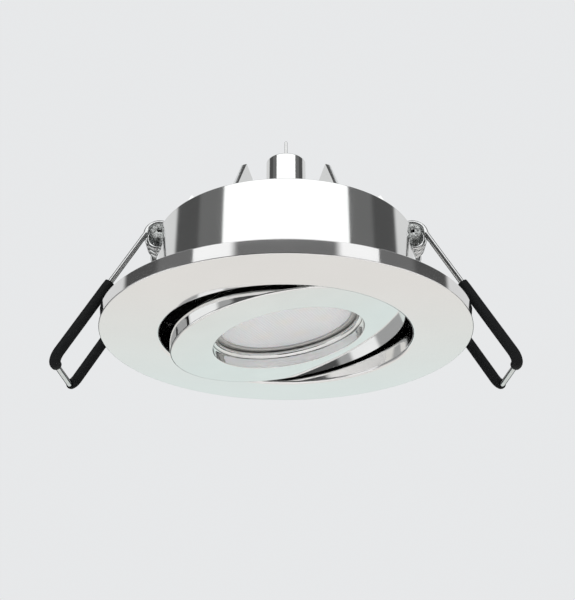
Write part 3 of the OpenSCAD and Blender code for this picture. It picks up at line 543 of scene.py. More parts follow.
class Finish:
    """One procedural finish, built node by node."""

    def __init__(self, name, base, metal=0.0, rough=0.4):
        self.material = bpy.data.materials.new(f"{name}_finish")
        self.material.use_nodes = True
        self.material.diffuse_color = (*base, 1.0)
        self.nodes = self.material.node_tree.nodes
        self.links = self.material.node_tree.links
        self.shader = self.nodes["Principled BSDF"]
        self.shader.inputs["Base Color"].default_value = (*base, 1.0)
        self.shader.inputs["Metallic"].default_value = metal
        self.shader.inputs["Roughness"].default_value = rough
        self.base = tuple(base)
        self.object_space = self.nodes.new("ShaderNodeTexCoord").outputs["Object"]

    def set(self, **values):
        """Set constants straight on the shader's own sockets."""
        for socket, value in values.items():
            self.shader.inputs[socket.replace("_", " ")].default_value = value

    def join(self, source, target):
        """Link two sockets."""
        self.links.new(source, target)

    def spaced(self, scale):
        """Object space in millimetres, stretched by a scale for each axis."""
        node = self.nodes.new("ShaderNodeMapping")
        node.inputs["Scale"].default_value = [s / MM for s in scale]
        self.join(self.object_space, node.inputs["Vector"])
        return node.outputs["Vector"]

    def noise(self, scale, detail=4.0, rough=0.55):
        """Cloudy value with features of about one over scale, in millimetres."""
        node = self.nodes.new("ShaderNodeTexNoise")
        node.inputs["Scale"].default_value = 1.0
        node.inputs["Detail"].default_value = detail
        node.inputs["Roughness"].default_value = rough
        scale = scale if isinstance(scale, (list, tuple)) else (scale, scale, scale)
        self.join(self.spaced(scale), node.inputs["Vector"])
        return node.outputs["Fac"]

    def turning(self, pitch):
        """Fine rings about the upright, as a lathe leaves them, with a pitch in millimetres."""
        flat = self.spaced((1, 1, 0))
        distance = self.nodes.new("ShaderNodeVectorMath")
        distance.operation = "LENGTH"
        self.join(flat, distance.inputs[0])
        node = self.nodes.new("ShaderNodeTexNoise")
        node.noise_dimensions = "1D"
        node.inputs["Scale"].default_value = 1.0 / pitch
        node.inputs["Detail"].default_value = 3.0
        self.join(distance.outputs["Value"], node.inputs["W"])
        return node.outputs["Fac"]

    def math(self, operation, one, two=None):
        """Result of one sum on values or sockets."""
        node = self.nodes.new("ShaderNodeMath")
        node.operation = operation
        for socket, value in zip(node.inputs, (one, two)):
            if hasattr(value, "is_linked"):
                self.join(value, socket)
            elif value is not None:
                socket.default_value = value
        return node.outputs["Value"]

    def mixed(self, one, two, share_one):
        """Sum of two values, the first with the given share and the second with the rest."""
        first = self.math("MULTIPLY", one, share_one)
        return self.math("ADD", first, self.math("MULTIPLY", two, 1 - share_one))

    def spread(self, source, low, high, start=0.3, end=0.7):
        """Value that runs from low to high as the source runs from start to end."""
        node = self.nodes.new("ShaderNodeMapRange")
        node.inputs["From Min"].default_value = start
        node.inputs["From Max"].default_value = end
        node.inputs["To Min"].default_value = low
        node.inputs["To Max"].default_value = high
        self.join(source, node.inputs["Value"])
        return node.outputs["Result"]

    def roughen(self, source, low, high, start=0.3, end=0.7):
        """Let the gloss vary with a source."""
        self.join(self.spread(source, low, high, start, end), self.shader.inputs["Roughness"])

    def blend(self, source, one, two):
        """Colour that runs from one to two with a source of nought to one."""
        node = self.nodes.new("ShaderNodeMix")
        node.data_type = "RGBA"
        self.join(source, node.inputs["Factor"])
        colours = [s for s in node.inputs if s.type == "RGBA"]
        for socket, value in zip(colours, (one, two)):
            if hasattr(value, "is_linked"):
                self.join(value, socket)
            else:
                socket.default_value = (*value, 1.0)
        return [s for s in node.outputs if s.type == "RGBA"][0]

    def tint(self, source, dark=0.9, light=1.06, start=0.3, end=0.7):
        """Let the base colour vary a little with a source."""
        low = [min(1.0, c * dark) for c in self.base]
        high = [min(1.0, c * light) for c in self.base]
        result = self.blend(self.spread(source, 0.0, 1.0, start, end), low, high)
        self.join(result, self.shader.inputs["Base Color"])
        return result

    def relief(self, source, depth, strength=1.0):
        """Raise the surface by a source, with a depth in millimetres."""
        node = self.nodes.new("ShaderNodeBump")
        node.inputs["Distance"].default_value = depth * MM
        node.inputs["Strength"].default_value = strength
        self.join(source, node.inputs["Height"])
        self.join(node.outputs["Normal"], self.shader.inputs["Normal"])


def colours():
    """The finish colours that the user can change."""
    return bpy.context.scene.downlight_colours


def polished_aluminium():
    """Aluminium turned and then satin polished, with fine rings and faint wear."""
    f = Finish("polished_aluminium", colours().trim, 1.0, 0.1)
    rings = f.turning(0.09)
    f.roughen(f.mixed(rings, f.noise(0.12), 0.6), 0.06, 0.10)
    f.tint(f.noise(0.05, 2.0), 0.985, 1.01)
    f.relief(rings, 0.0001)
    return f.material


def mirror_ring():
    """Mirror-bright plating with the faintest polishing marks."""
    f = Finish("mirror_ring", colours().chrome, 1.0, 0.04)
    f.roughen(f.noise(0.25, 5.0), 0.025, 0.065)
    f.tint(f.noise(0.08, 2.0), 0.97, 1.01)
    f.relief(f.turning(0.22), 0.0003)
    return f.material


def bright_can():
    """Bright plating over drawn metal, with soft upright drawing marks."""
    f = Finish("bright_can", colours().chrome, 1.0, 0.09)
    drawn_marks = f.noise((3.0, 3.0, 0.05), 3.0)
    f.roughen(f.mixed(drawn_marks, f.noise(0.2), 0.5), 0.07, 0.12)
    f.tint(f.noise(0.07, 2.0), 0.97, 1.01)
    f.relief(drawn_marks, 0.0005)
    return f.material


def painted_shade_inside():
    """The can's inside, dull, with its colour darkened as painted shade for the shade that falls inside the
    can.
    """
    f = Finish("painted_shade_inside", (0.10, 0.105, 0.105), 0.6, 0.6)
    drawn_marks = f.noise((3.0, 3.0, 0.05), 3.0)
    f.roughen(drawn_marks, 0.55, 0.70)
    f.relief(drawn_marks, 0.002)
    return f.material


def spring_steel():
    """Hard drawn wire with fine die lines and small dull specks."""
    f = Finish("spring_steel", colours().spring, 1.0, 0.14)
    specks = f.noise(2.6, 6.0)
    f.roughen(specks, 0.08, 0.22)
    f.tint(specks, 0.82, 1.12)
    f.relief(f.noise(3.5, 5.0), 0.004)
    return f.material


def tumbled_steel():
    """Tumbled steel of the coils' tube, speckled bright and dark."""
    f = Finish("tumbled_steel", colours().plated, 1.0, 0.3)
    specks = f.noise(2.0, 5.0, rough=0.7)
    f.roughen(specks, 0.18, 0.5)
    f.tint(specks, 0.15, 1.25, 0.40, 0.60)
    f.relief(f.noise(1.7, 4.0), 0.12)
    return f.material


def spring_plate():
    """Pressed steel with satin plating and a fine brushed grain."""
    f = Finish("spring_plate", colours().plated, 1.0, 0.27)
    grain = f.noise((9.0, 9.0, 0.4), 4.0)
    f.roughen(grain, 0.20, 0.34)
    f.tint(f.noise(0.6, 4.0), 0.86, 1.08)
    f.relief(grain, 0.002)
    return f.material


def steel_screw():
    """Zinc-plated screw steel, a little clouded."""
    f = Finish("steel_screw", colours().plated, 1.0, 0.24)
    f.roughen(f.noise(1.5, 5.0), 0.16, 0.34)
    f.tint(f.noise(0.9, 3.0), 0.84, 1.10)
    f.relief(f.noise(6.0, 3.0), 0.002)
    return f.material


def tinned_pin():
    """Tinned contact, bright and slightly wavy."""
    f = Finish("tinned_pin", colours().chrome, 1.0, 0.12)
    f.roughen(f.noise(1.2, 4.0), 0.07, 0.18)
    f.tint(f.noise(0.8, 3.0), 0.92, 1.02)
    f.relief(f.noise(1.4, 2.0), 0.003)
    return f.material


def bare_aluminium():
    """Aluminium as the saw and mill leave it."""
    f = Finish("bare_aluminium", colours().plated, 1.0, 0.34)
    marks = f.noise((0.3, 7.0, 0.3), 4.0)
    f.roughen(marks, 0.28, 0.44)
    f.tint(f.noise(0.5, 4.0), 0.9, 1.06)
    f.relief(marks, 0.003)
    return f.material


def satin_bezel():
    """Satin ring round the lens, bead blasted."""
    f = Finish("satin_bezel", colours().bezel, 1.0, 0.38)
    grit = f.noise(6.0, 3.0)
    f.roughen(grit, 0.32, 0.46)
    f.tint(f.noise(0.3, 3.0), 0.93, 1.06)
    f.relief(grit, 0.003)
    return f.material


# Turn of the lens's two sets of prism rows, in degrees, and the wave texture's period at a scale of one
PRISM_TURN = 30
WAVE_PERIOD = 0.314


def chip_places(sizes):
    """Matrices of the light chips, one in the middle and a ring round it."""
    return [UNMOVED] + round_places(6, 0, sizes.chip_ring)


def frosted_lens():
    """Frosted lens with rows of fine prisms both ways. Its colour carries painted light and shade along the
    rows, and painted warm spots that stand in for the chips seen through it.
    """
    sizes = bpy.context.scene.downlight_lamp
    f = Finish("frosted_lens", colours().lens, 0.0, 0.34)
    rows = []
    for slope in (PRISM_TURN, -PRISM_TURN):
        turned_space = f.nodes.new("ShaderNodeMapping")
        turned_space.inputs["Rotation"].default_value = (0, 0, math.radians(slope))
        turned_space.inputs["Scale"].default_value = [1 / MM] * 3
        f.join(f.object_space, turned_space.inputs["Vector"])
        wave = f.nodes.new("ShaderNodeTexWave")
        wave.wave_type = "BANDS"
        wave.bands_direction = "X"
        wave.wave_profile = "TRI"
        wave.inputs["Scale"].default_value = WAVE_PERIOD / (sizes.prism / MM)
        wave.inputs["Distortion"].default_value = 0.0
        f.join(turned_space.outputs["Vector"], wave.inputs["Vector"])
        rows.append(wave.outputs["Fac"])
    prisms = f.mixed(rows[0], rows[1], 0.62)
    # Painted light: faint warm spots at the chips' places stand in for the chips seen through the lens by the
    # light that passes it.
    near = None
    for place in chip_places(sizes):
        gap = f.nodes.new("ShaderNodeVectorMath")
        gap.operation = "DISTANCE"
        f.join(f.spaced((1, 1, 0)), gap.inputs[0])
        gap.inputs[1].default_value = place.translation / MM
        near = gap.outputs["Value"] if near is None else f.math("MINIMUM", near, gap.outputs["Value"])
    spots = f.spread(near, 1.0, 0.0, 0.6, 3.4)
    painted_chip_spots = f.math("MULTIPLY", spots, f.spread(prisms, 0.55, 1.0, 0.1, 0.9))
    # Painted light and shade: the lens colour runs lighter and darker with the prism rows, in step with their
    # relief.
    base = f.tint(prisms, 0.90, 1.08, 0.1, 0.9)
    warm = f.blend(f.math("MULTIPLY", painted_chip_spots, 0.22), base, colours().glow)
    f.join(warm, f.shader.inputs["Base Color"])
    f.roughen(f.noise(1.0, 4.0), 0.28, 0.40)
    f.relief(prisms, sizes.prism_depth / MM)
    f.set(Subsurface_Weight=0.15, Subsurface_Scale=0.001, IOR=1.49)
    return f.material


def black_sleeve():
    """Black plastic sleeve, satin, with a fine pebbled skin and small scuffs."""
    f = Finish("black_sleeve", colours().sleeve, 0.0, 0.42)
    skin = f.noise(2.4, 5.0)
    f.roughen(skin, 0.32, 0.56)
    scuffs = f.noise(0.9, 6.0, rough=0.7)
    f.join(
        f.blend(f.spread(scuffs, 0.0, 1.0, 0.60, 0.80), f.base, [c * 3.2 for c in f.base]),
        f.shader.inputs["Base Color"],
    )
    f.relief(skin, 0.03, 0.7)
    f.set(Specular_IOR_Level=0.05)
    return f.material


def foam_rubber():
    """Closed-cell foam with small open pores on its cut face, its colour darkened in the pores' hollows as
    painted shade.
    """
    f = Finish("foam_rubber", colours().foam, 0.0, 0.85)
    cells = f.nodes.new("ShaderNodeTexVoronoi")
    cells.inputs["Scale"].default_value = 1.0
    f.join(f.spaced((3.2, 3.2, 3.2)), cells.inputs["Vector"])
    pores = cells.outputs["Distance"]
    # Painted shade: darker where the pores sink the surface, lighter on the cell walls between them.
    f.tint(pores, 0.45, 1.5, 0.05, 0.6)
    f.roughen(pores, 0.78, 0.95, 0.0, 0.7)
    f.relief(pores, 0.08)
    return f.material


def moulded(name, base, rough, grain):
    """Moulded plastic with a fine even texture."""
    f = Finish(name, base, 0.0, rough)
    cloud = f.noise(grain, 3.0)
    f.roughen(cloud, rough - 0.06, rough + 0.06)
    f.tint(f.noise(grain * 0.2, 3.0), 0.94, 1.04)
    f.relief(cloud, 0.004)
    return f.material


def ivory_plastic():
    """Ivory insulator."""
    return moulded("ivory_plastic", colours().ivory, 0.45, 3.0)


def white_plastic():
    """White washers and reflector."""
    return moulded("white_plastic", colours().white, 0.25, 2.0)


def white_board():
    """White coated light board."""
    return moulded("white_board", colours().white, 0.35, 1.2)


def grey_pad():
    """Soft grey heat-conducting pad."""
    return moulded("grey_pad", (0.36, 0.37, 0.38), 0.7, 1.5)


def black_chip():
    """Black moulded chips."""
    return moulded("black_chip", (0.018, 0.018, 0.019), 0.5, 5.0)


def capacitor_sleeve():
    """Dark blue shrink sleeve."""
    return moulded("capacitor_sleeve", (0.016, 0.022, 0.075), 0.3, 1.0)


def red_lead():
    """Red wire insulation."""
    return moulded("red_lead", colours().lead, 0.4, 1.6)


def green_board():
    """Green coated board, with faint tracks under the coating."""
    f = Finish("green_board", colours().board, 0.0, 0.3)
    tracks = f.nodes.new("ShaderNodeTexBrick")
    tracks.inputs["Scale"].default_value = 1.0
    tracks.inputs["Mortar Size"].default_value = 0.06
    f.join(f.spaced((0.35, 0.35, 0.35)), tracks.inputs["Vector"])
    f.join(
        f.blend(tracks.outputs["Fac"], f.base, [c * 1.7 for c in f.base]),
        f.shader.inputs["Base Color"],
    )
    f.roughen(f.noise(0.8), 0.24, 0.38)
    f.relief(tracks.outputs["Fac"], 0.01)
    return f.material


def inductor_winding():
    """Enamelled copper wire, bright with a little unevenness."""
    f = Finish("inductor_winding", colours().copper, 1.0, 0.22)
    f.roughen(f.noise(1.2, 4.0), 0.16, 0.3)
    f.tint(f.noise(0.8, 3.0), 0.8, 1.15)
    f.relief(f.noise(4.0, 2.0), 0.002)
    return f.material


def led_phosphor():
    """Yellow phosphor over the light chips, a little grainy."""
    f = Finish("led_phosphor", colours().phosphor, 0.0, 0.35)
    grain = f.noise(5.0, 4.0)
    f.tint(grain, 0.85, 1.1)
    f.roughen(grain, 0.28, 0.44)
    f.relief(grain, 0.008)
    return f.material


FINISHES = {}


def once(make):
    """Make a finish the first time that it is asked for, and give the same one after that."""

    def give():
        kept = bpy.data.materials.get(f"{make.__name__}_finish")
        return kept or make()

    return give


for make in (
    polished_aluminium,
    mirror_ring,
    bright_can,
    spring_steel,
    painted_shade_inside,
    tumbled_steel,
    spring_plate,
    steel_screw,
    tinned_pin,
    bare_aluminium,
    satin_bezel,
    frosted_lens,
    black_sleeve,
    foam_rubber,
    ivory_plastic,
    white_plastic,
    white_board,
    grey_pad,
    black_chip,
    capacitor_sleeve,
    red_lead,
    green_board,
    inductor_winding,
    led_phosphor,
):
    FINISHES[make.__name__] = once(make)


# Trim ring, foam and can


def foam_ring(outer, inner, low, high, crown):
    """Foam ring with a crowned back face and soft edges."""
    middle = (outer + inner) / 2
    lift = high - low
    outline = [(inner, low), (outer, low), (outer, high - crown)]
    count = 8
    for i in range(1, count):
        t = i / count
        r = outer + (inner - outer) * t
        outline.append((r, high - crown * (1 - (1 - abs(2 * t - 1) ** 3))))
    outline.append((inner, high - crown))
    return turned(bmesh.new(), eased(outline, min(0.3 * lift, 0.25 * abs(outer - middle)), 3))


class DOWNLIGHT_OT_trim_ring(bpy.types.Operator):
    """Build the polished trim ring with its collar, and the foam ring in its back"""

    bl_idname = "downlight.trim_ring"
    bl_label = "Trim Ring"

    def execute(self, context):
        s = context.scene.downlight_trim
        fine = 0.1 * MM
        outline = [
            (s.aperture, s.face),
            (s.rim_radius - s.rim_lean, s.face),
            (s.rim_radius, s.back),
            (s.foam_out + CLEARANCE, s.back),
            (s.foam_out + CLEARANCE, s.foam_low),
            (s.foam_in - CLEARANCE, s.foam_low),
            (s.foam_in - CLEARANCE, s.back),
            (s.collar, s.back),
            (s.collar, s.collar_top),
            (s.aperture, s.collar_top),
        ]
        rounds = [s.aperture_round, s.rim_round, s.rim_round] + [fine] * 7
        ring = turned(bmesh.new(), eased(outline, rounds, 6), 288)
        add_piece("trim_ring_turned", ring, "polished_aluminium", "can", ["trim_ring"], crease=50)
        foam = foam_ring(s.foam_out, s.foam_in, s.foam_low, 0.0, 0.12 * MM)
        add_piece("ceiling_foam", foam, "foam_rubber", "can", ["ceiling_gasket"])
        return {"FINISHED"}


def pocket_cut(reach, wall, top, side):
    """Block that a pocket takes up, grown by a wall, on one side."""
    c = bpy.context.scene.downlight_cover
    near, far = sorted((side * (c.pocket_back - wall), side * reach))
    half = c.pocket_half + wall
    return box_shape((near, -half, c.pocket_floor - wall), (far, half, top))


def pocket_cuts(reach, wall, top):
    """The blocks of both pockets."""
    return [pocket_cut(reach, wall, top, side) for side in SIDES]


class DOWNLIGHT_OT_can(bpy.types.Operator):
    """Build the bright can with its two spring pockets, its ledge and its screw bosses"""

    bl_idname = "downlight.can"
    bl_label = "Can"

    def execute(self, context):
        s = context.scene.downlight_trim
        c = context.scene.downlight_cover
        reach = s.can_radius + PAST
        above = s.can_top + PAST
        fine = 0.1 * MM
        rounds = [fine, fine, s.can_round, s.can_round]
        wall = tube(s.can_bore, s.can_radius, s.back, s.can_top, rounds, 288)
        wall = combined(wall, pocket_cuts(reach, 0.0, above))
        linings = []
        for side in SIDES:
            lining = combined(
                pocket_cut(reach, c.pocket_wall, s.can_top, side),
                [pocket_cut(reach + MM, 0.0, above, side)],
            )
            linings.append(combined(lining, [rod(s.can_bore + fine, 0.0, above, 144)], "INTERSECT"))
        ledge_top = c.pocket_floor + 3.5 * MM
        ledge_low = ledge_top - 0.8 * MM
        ledge = tube(s.can_bore - 2.0 * MM, s.can_bore + fine, ledge_low, ledge_top, [fine, 0, 0, fine])
        ledge = combined(ledge, pocket_cuts(reach, c.pocket_wall - fine, above))
        boss = tube(1.1 * MM, 2.9 * MM, -8.7 * MM, -0.2 * MM, [fine, 0.4 * MM, fine, fine], 32)
        bosses = copied(boss, four_places(SCREW_CIRCLE, ledge_top))
        whole = gathered([wall, *linings, ledge, bosses])
        can = add_piece("can_drawn", whole, "bright_can", "can", ["can_housing"], crease=40)
        can.data.materials.append(FINISHES["painted_shade_inside"]())
        # Faces near the wall that look inward take the second finish, whose dark colour is painted shade
        # inside the can.
        for face in can.data.polygons:
            outward = Vector((face.center.x, face.center.y, 0)).normalized()
            near_wall = face.center.xy.length > s.can_radius - 3 * MM
            if near_wall and face.normal.dot(outward) < -0.5:
                face.material_index = 1
        return {"FINISHED"}


# Cover, connector and screws


def screw_shape(shank, shank_length, head, head_height, sides=40):
    """Domed pan head with a cross recess, standing on the plane at zero, with its threaded shank below."""
    thread = 0.09 * head
    outline = [(0.0, -shank_length)]
    outline.append((shank - thread, -shank_length))
    pitch = max(2.2 * thread, 0.32 * MM)
    low = -shank_length + pitch
    while low < -1.2 * pitch:
        outline += [(shank - thread, low - 0.5 * pitch), (shank, low)]
        low += pitch
    outline += [(shank - thread, -0.4 * pitch), (shank, 0.0), (head * 0.93, 0.0), (head, head_height * 0.16)]
    steps = 6
    for i in range(steps + 1):
        t = math.pi / 2 * i / steps
        outline.append((head * (0.55 + 0.45 * math.cos(t)), head_height * (0.45 + 0.55 * math.sin(t))))
    outline.append((0.0, head_height))
    body = turned(bmesh.new(), outline, sides)
    half_w, half_l = 0.16 * head, 0.58 * head
    arms = []
    for turn in (0, 90):
        arm = box_shape((-half_l, -half_w, head_height * 0.45), (half_l, half_w, head_height * 1.5))
        arm.transform(spun(turn, "Z"))
        arms.append(arm)
    return combined(body, arms)


def finned_plate():
    """Cover plate with pointed cooling fins and the posts that carry the driver board."""
    s = bpy.context.scene.downlight_trim
    c = bpy.context.scene.downlight_cover
    above = c.fin_top + PAST
    reach = s.can_radius + PAST
    low = s.can_top - c.plate
    fine = 0.1 * MM
    pocket_gap = c.pocket_wall + 0.1 * MM
    disc = tube(c.shank + CLEARANCE, c.plate_radius, low, s.can_top, [fine, fine, 0.22 * MM, fine])
    cuts = pocket_cuts(reach, pocket_gap, above)
    for place in four_places(SCREW_CIRCLE):
        hole = rod(1.2 * MM, low - MM, above, 32)
        hole.transform(place)
        cuts.append(hole)
    disc = combined(disc, cuts)
    foot = s.can_top - 0.2 * MM
    half_point = 0.12 * MM
    fins = []
    for i in range(c.fins):
        turn = 180 / c.fins + 360 * i / c.fins
        outline = [
            (c.fin_root, foot),
            (c.fin_foot, foot),
            (c.fin_foot, s.can_top),
            (c.fin_point + half_point, c.fin_top),
            (c.fin_point - half_point, c.fin_top),
            (c.fin_root, s.can_top),
        ]
        fin = slab(outline, -c.fin_thick / 2, c.fin_thick / 2)
        sharp = [e for e in fin.edges if e.calc_face_angle(0.0) > 0.5]
        upper = [e for e in sharp if max(v.co.y for v in e.verts) > s.can_top]
        bmesh.ops.bevel(fin, geom=upper, offset=0.16 * MM, segments=2, profile=0.6, affect="EDGES")
        fin.transform(spun(turn, "Z") @ spun(90, "X"))
        if min(turn % 180, 180 - turn % 180) < 30:
            fin = combined(fin, pocket_cuts(reach, pocket_gap, above))
        fins.append(fin)
    post = tube(0.75 * MM, 1.85 * MM, -2 * MM, 0.1 * MM, fine, 32)
    posts = copied(post, four_places(POST_CIRCLE, low))
    return gathered([disc, *fins, posts])


class DOWNLIGHT_OT_back_cover(bpy.types.Operator):
    """Build the finned back cover with its seal and its four screws"""

    bl_idname = "downlight.back_cover"
    bl_label = "Back Cover"

    def execute(self, context):
        s = context.scene.downlight_trim
        c = context.scene.downlight_cover
        add_piece("cover_finned", finned_plate(), "bright_can", "can", ["back_cover"], crease=30)
        top = s.can_top - c.plate
        seal = foam_ring(s.can_bore - 0.1 * MM, s.can_bore - 1.9 * MM, top - 0.5 * MM, top, 0.05 * MM)
        seal = combined(seal, pocket_cuts(s.can_radius + PAST, c.pocket_wall + 0.2 * MM, s.can_top))
        add_piece("cover_seal", seal, "foam_rubber", "can", ["cover_gasket"])
        screws = copied(screw_shape(*COVER_SCREW), four_places(SCREW_CIRCLE, s.can_top))
        add_piece("cover_screws_cross", screws, "steel_screw", "can", ["cover_screws"])
        return {"FINISHED"}


class DOWNLIGHT_OT_connector(bpy.types.Operator):
    """Build the connector barrel, its insulator and its contact pin"""

    bl_idname = "downlight.connector"
    bl_label = "Connector"

    def execute(self, context):
        s = context.scene.downlight_trim
        c = context.scene.downlight_cover
        fine = 0.08 * MM
        outline = [
            (c.bore, c.shank_low),
            (c.shank, c.shank_low),
            (c.shank, s.can_top),
            (c.barrel, s.can_top),
            (c.barrel, c.barrel_top),
            (c.bore, c.barrel_top),
        ]
        rounds = [fine, 0.3 * MM, fine, 0.15 * MM, 0.4 * MM, 0.25 * MM]
        shell = turned(bmesh.new(), eased(outline, rounds, 5), 128)
        add_piece("connector_barrel", shell, "bright_can", "can", ["connector_shell"], crease=40)
        inner = c.pin + CLEARANCE
        outer = c.bore - CLEARANCE
        dish = 0.35 * MM
        outline = [
            (inner, c.shank_low),
            (outer, c.shank_low),
            (outer, c.insulator_top),
            (outer - 0.7 * MM, c.insulator_top),
            (outer - 1.1 * MM, c.insulator_top - dish),
            (inner + 0.8 * MM, c.insulator_top - dish),
            (inner + 0.45 * MM, c.insulator_top),
            (inner, c.insulator_top),
        ]
        insulator = turned(bmesh.new(), eased(outline, 0.08 * MM), 96)
        add_piece("connector_insulator_dished", insulator, "ivory_plastic", "can", ["connector_insulator"])
        tip = c.pin_top - c.pin * 1.4
        outline = [(0.0, c.pin_low), (c.pin * 0.8, c.pin_low), (c.pin, c.pin_low + 0.1 * MM)]
        steps = 8
        for i in range(steps):
            t = math.pi / 2 * i / steps
            outline.append((c.pin * math.cos(t), tip + c.pin * 1.4 * math.sin(t)))
        outline.append((0.0, c.pin_top))
        add_piece("contact_pin_drawn", turned(bmesh.new(), outline, 32), "tinned_pin", "can", ["contact_pin"])
        return {"FINISHED"}


class DOWNLIGHT_OT_screws(bpy.types.Operator):
    """Build the can's four side screws and the two pivot screws"""

    bl_idname = "downlight.screws"
    bl_label = "Side and Pivot Screws"

    def execute(self, context):
        s = context.scene.downlight_trim
        places = [place @ spun(90, "Y") for place in four_places(s.can_radius, SIDE_SCREW_HEIGHT)]
        side = copied(screw_shape(*SIDE_SCREW), places)
        add_piece("can_screws_cross", side, "steel_screw", "can", ["can_screws"])
        places = [spun(180 * i, "Z") @ moved(0, PIVOT_SEAT, 0) @ spun(-90, "X") for i in range(2)]
        pivots = copied(screw_shape(*PIVOT_SCREW), places)
        add_piece("pivot_screws_cross", pivots, "steel_screw", "lamp_head", ["pivot_screws"], lamp_place())
        return {"FINISHED"}


# Lamp head


class DOWNLIGHT_OT_gimbal_ring(bpy.types.Operator):
    """Build the mirror-bright tilting ring with its tube, its lugs and its washers"""

    bl_idname = "downlight.gimbal_ring"
    bl_label = "Tilting Ring"

    def execute(self, context):
        s = context.scene.downlight_lamp
        fine = 0.1 * MM
        wire = s.snap_wire + CLEARANCE
        outline = [
            (s.hole, s.ring_face),
            (s.ring, s.ring_face),
            (s.ring, s.ring_back),
            (s.hub, s.ring_back),
            (s.hub, s.hub_back),
            (s.hole, s.hub_back),
            (s.hole, s.snap_depth + wire),
            (s.groove, s.snap_depth + wire),
            (s.groove, s.snap_depth - wire),
            (s.hole, s.snap_depth - wire),
        ]
        rounds = [0.22 * MM, s.ring_round, 0.2 * MM, fine, fine, fine, 0.05 * MM, fine, fine, 0.05 * MM]
        ring = turned(bmesh.new(), eased(outline, rounds, 6), 288)
        lugs = []
        sunk = 0.2 * MM
        out = math.sqrt(s.ring**2 - s.lug_half**2)
        for side in SIDES:
            near, far = sorted((side * (s.hub - sunk), side * out))
            low, high = (-s.lug_half, near, s.ring_back - sunk), (s.lug_half, far, s.lug_top)
            lugs.append(box_shape(low, high, 0.3 * MM))
        add_piece(
            "tilting_ring_turned",
            gathered([ring, *lugs]),
            "mirror_ring",
            "lamp_head",
            ["gimbal_ring"],
            lamp_place(),
            crease=50,
        )
        washer = tube(1.05 * MM, 1.9 * MM, 0.0, 1.3 * MM, 0.15 * MM, 48)
        washer.transform(moved(0, s.ring, 0) @ spun(-90, "X"))
        pair = copied(washer, [spun(180 * i, "Z") for i in range(2)])
        add_piece("tilt_washers_moulded", pair, "white_plastic", "lamp_head", ["tilt_washers"], lamp_place())
        return {"FINISHED"}


class DOWNLIGHT_OT_lens(bpy.types.Operator):
    """Build the snap ring, the bezel, the frosted lens and the seal behind it"""

    bl_idname = "downlight.lens"
    bl_label = "Lens and Rings"

    def execute(self, context):
        s = context.scene.downlight_lamp
        half_gap = s.snap_gap / 2
        sweep = FULL - s.snap_gap
        steps = 160
        path = []
        for i in range(steps + 1):
            turn = -math.pi / 2 + half_gap + sweep * i / steps
            path.append((s.snap * math.cos(turn), s.snap * math.sin(turn), s.snap_depth))
        snap = drawn(bmesh.new(), path, s.snap_wire, 20)
        place = lamp_place()
        add_piece("snap_ring_wire", snap, "mirror_ring", "lamp_head", ["lens_snap_ring"], place, crease=50)
        outline = [
            (s.bezel, s.bezel_face + 0.2 * MM),
            (s.bezel + 0.35 * MM, s.bezel_face),
            (s.stack, s.bezel_face),
            (s.stack, 0.0),
            (s.bezel, 0.0),
        ]
        bezel = turned(bmesh.new(), eased(outline, 0.08 * MM, 3), 192)
        add_piece("bezel_satin", bezel, "satin_bezel", "lamp_head", ["lens_bezel"], place)
        rings = 40
        outline = [(s.stack * i / rings, 0.0) for i in range(rings + 1)]
        outline += [(s.stack, s.lens_back), (0.0, s.lens_back)]
        lens = turned(bmesh.new(), outline, 160)
        bmesh.ops.bevel(
            lens,
            geom=[e for e in lens.edges if e.calc_face_angle(0.0) > 1.0],
            offset=0.12 * MM,
            segments=2,
            profile=0.5,
            affect="EDGES",
        )
        add_piece("lens_prismatic", lens, "frosted_lens", "lamp_head", ["lens"], place)
        seal = foam_ring(s.stack, s.stack - 1.4 * MM, s.lens_back, s.lens_back + 0.4 * MM, 0.04 * MM)
        add_piece("lens_seal", seal, "foam_rubber", "lamp_head", ["lens_gasket"], place)
        return {"FINISHED"}


class DOWNLIGHT_OT_light_source(bpy.types.Operator):
    """Build the light chips with their frames and phosphor"""

    bl_idname = "downlight.light_source"
    bl_label = "Light Chips"

    def execute(self, context):
        s = context.scene.downlight_lamp
        half = s.chip / 2
        low, high = s.board_face - 0.6 * MM, s.board_face
        places = chip_places(s)
        window = half * (1 - 0.35 * MM / half)
        frame_shape = combined(
            box_shape((-half, -half, low), (half, half, high), 0.06 * MM),
            [box_shape((-window, -window, low - MM), (window, window, low + 0.25 * MM))],
        )
        add_piece("chip_frames", copied(frame_shape, places), "white_plastic", "lamp_head", (), lamp_place())
        inside = window * 0.999
        fill = box_shape((-inside, -inside, low + 0.08 * MM), (inside, inside, low + 0.3 * MM), 0.03 * MM)
        chips = copied(fill, places)
        add_piece("chip_phosphor", chips, "led_phosphor", "lamp_head", ["led_chips"], lamp_place())
        return {"FINISHED"}


# Springs


def arm_place(side):
    """Matrix from a spring's own space, drawn for the right side, to one side of the lamp."""
    s = bpy.context.scene.downlight_spring
    place = moved(s.coil_x, 0, s.coil_z)
    return place if side > 0 else FLIPPED @ place


def leg_line(s):
    """Upper end of the near leg, and the direction that it runs in."""
    return Vector((s.coil_radius, -s.leg, 0)), Vector((math.sin(s.splay), 0, -math.cos(s.splay)))


def bend_points(s, first, turned_by):
    """Points round the bend from the near leg to the end bar, in eight steps, from the step named first."""
    corner, along = leg_line(s)
    points = []
    for i in range(first, 9):
        turn = turned_by * i / 8
        down = s.arm - s.bend + s.bend * math.sin(turn)
        points.append(corner + along * down + Vector((0, s.bend * (1 - math.cos(turn)), 0)))
    return points


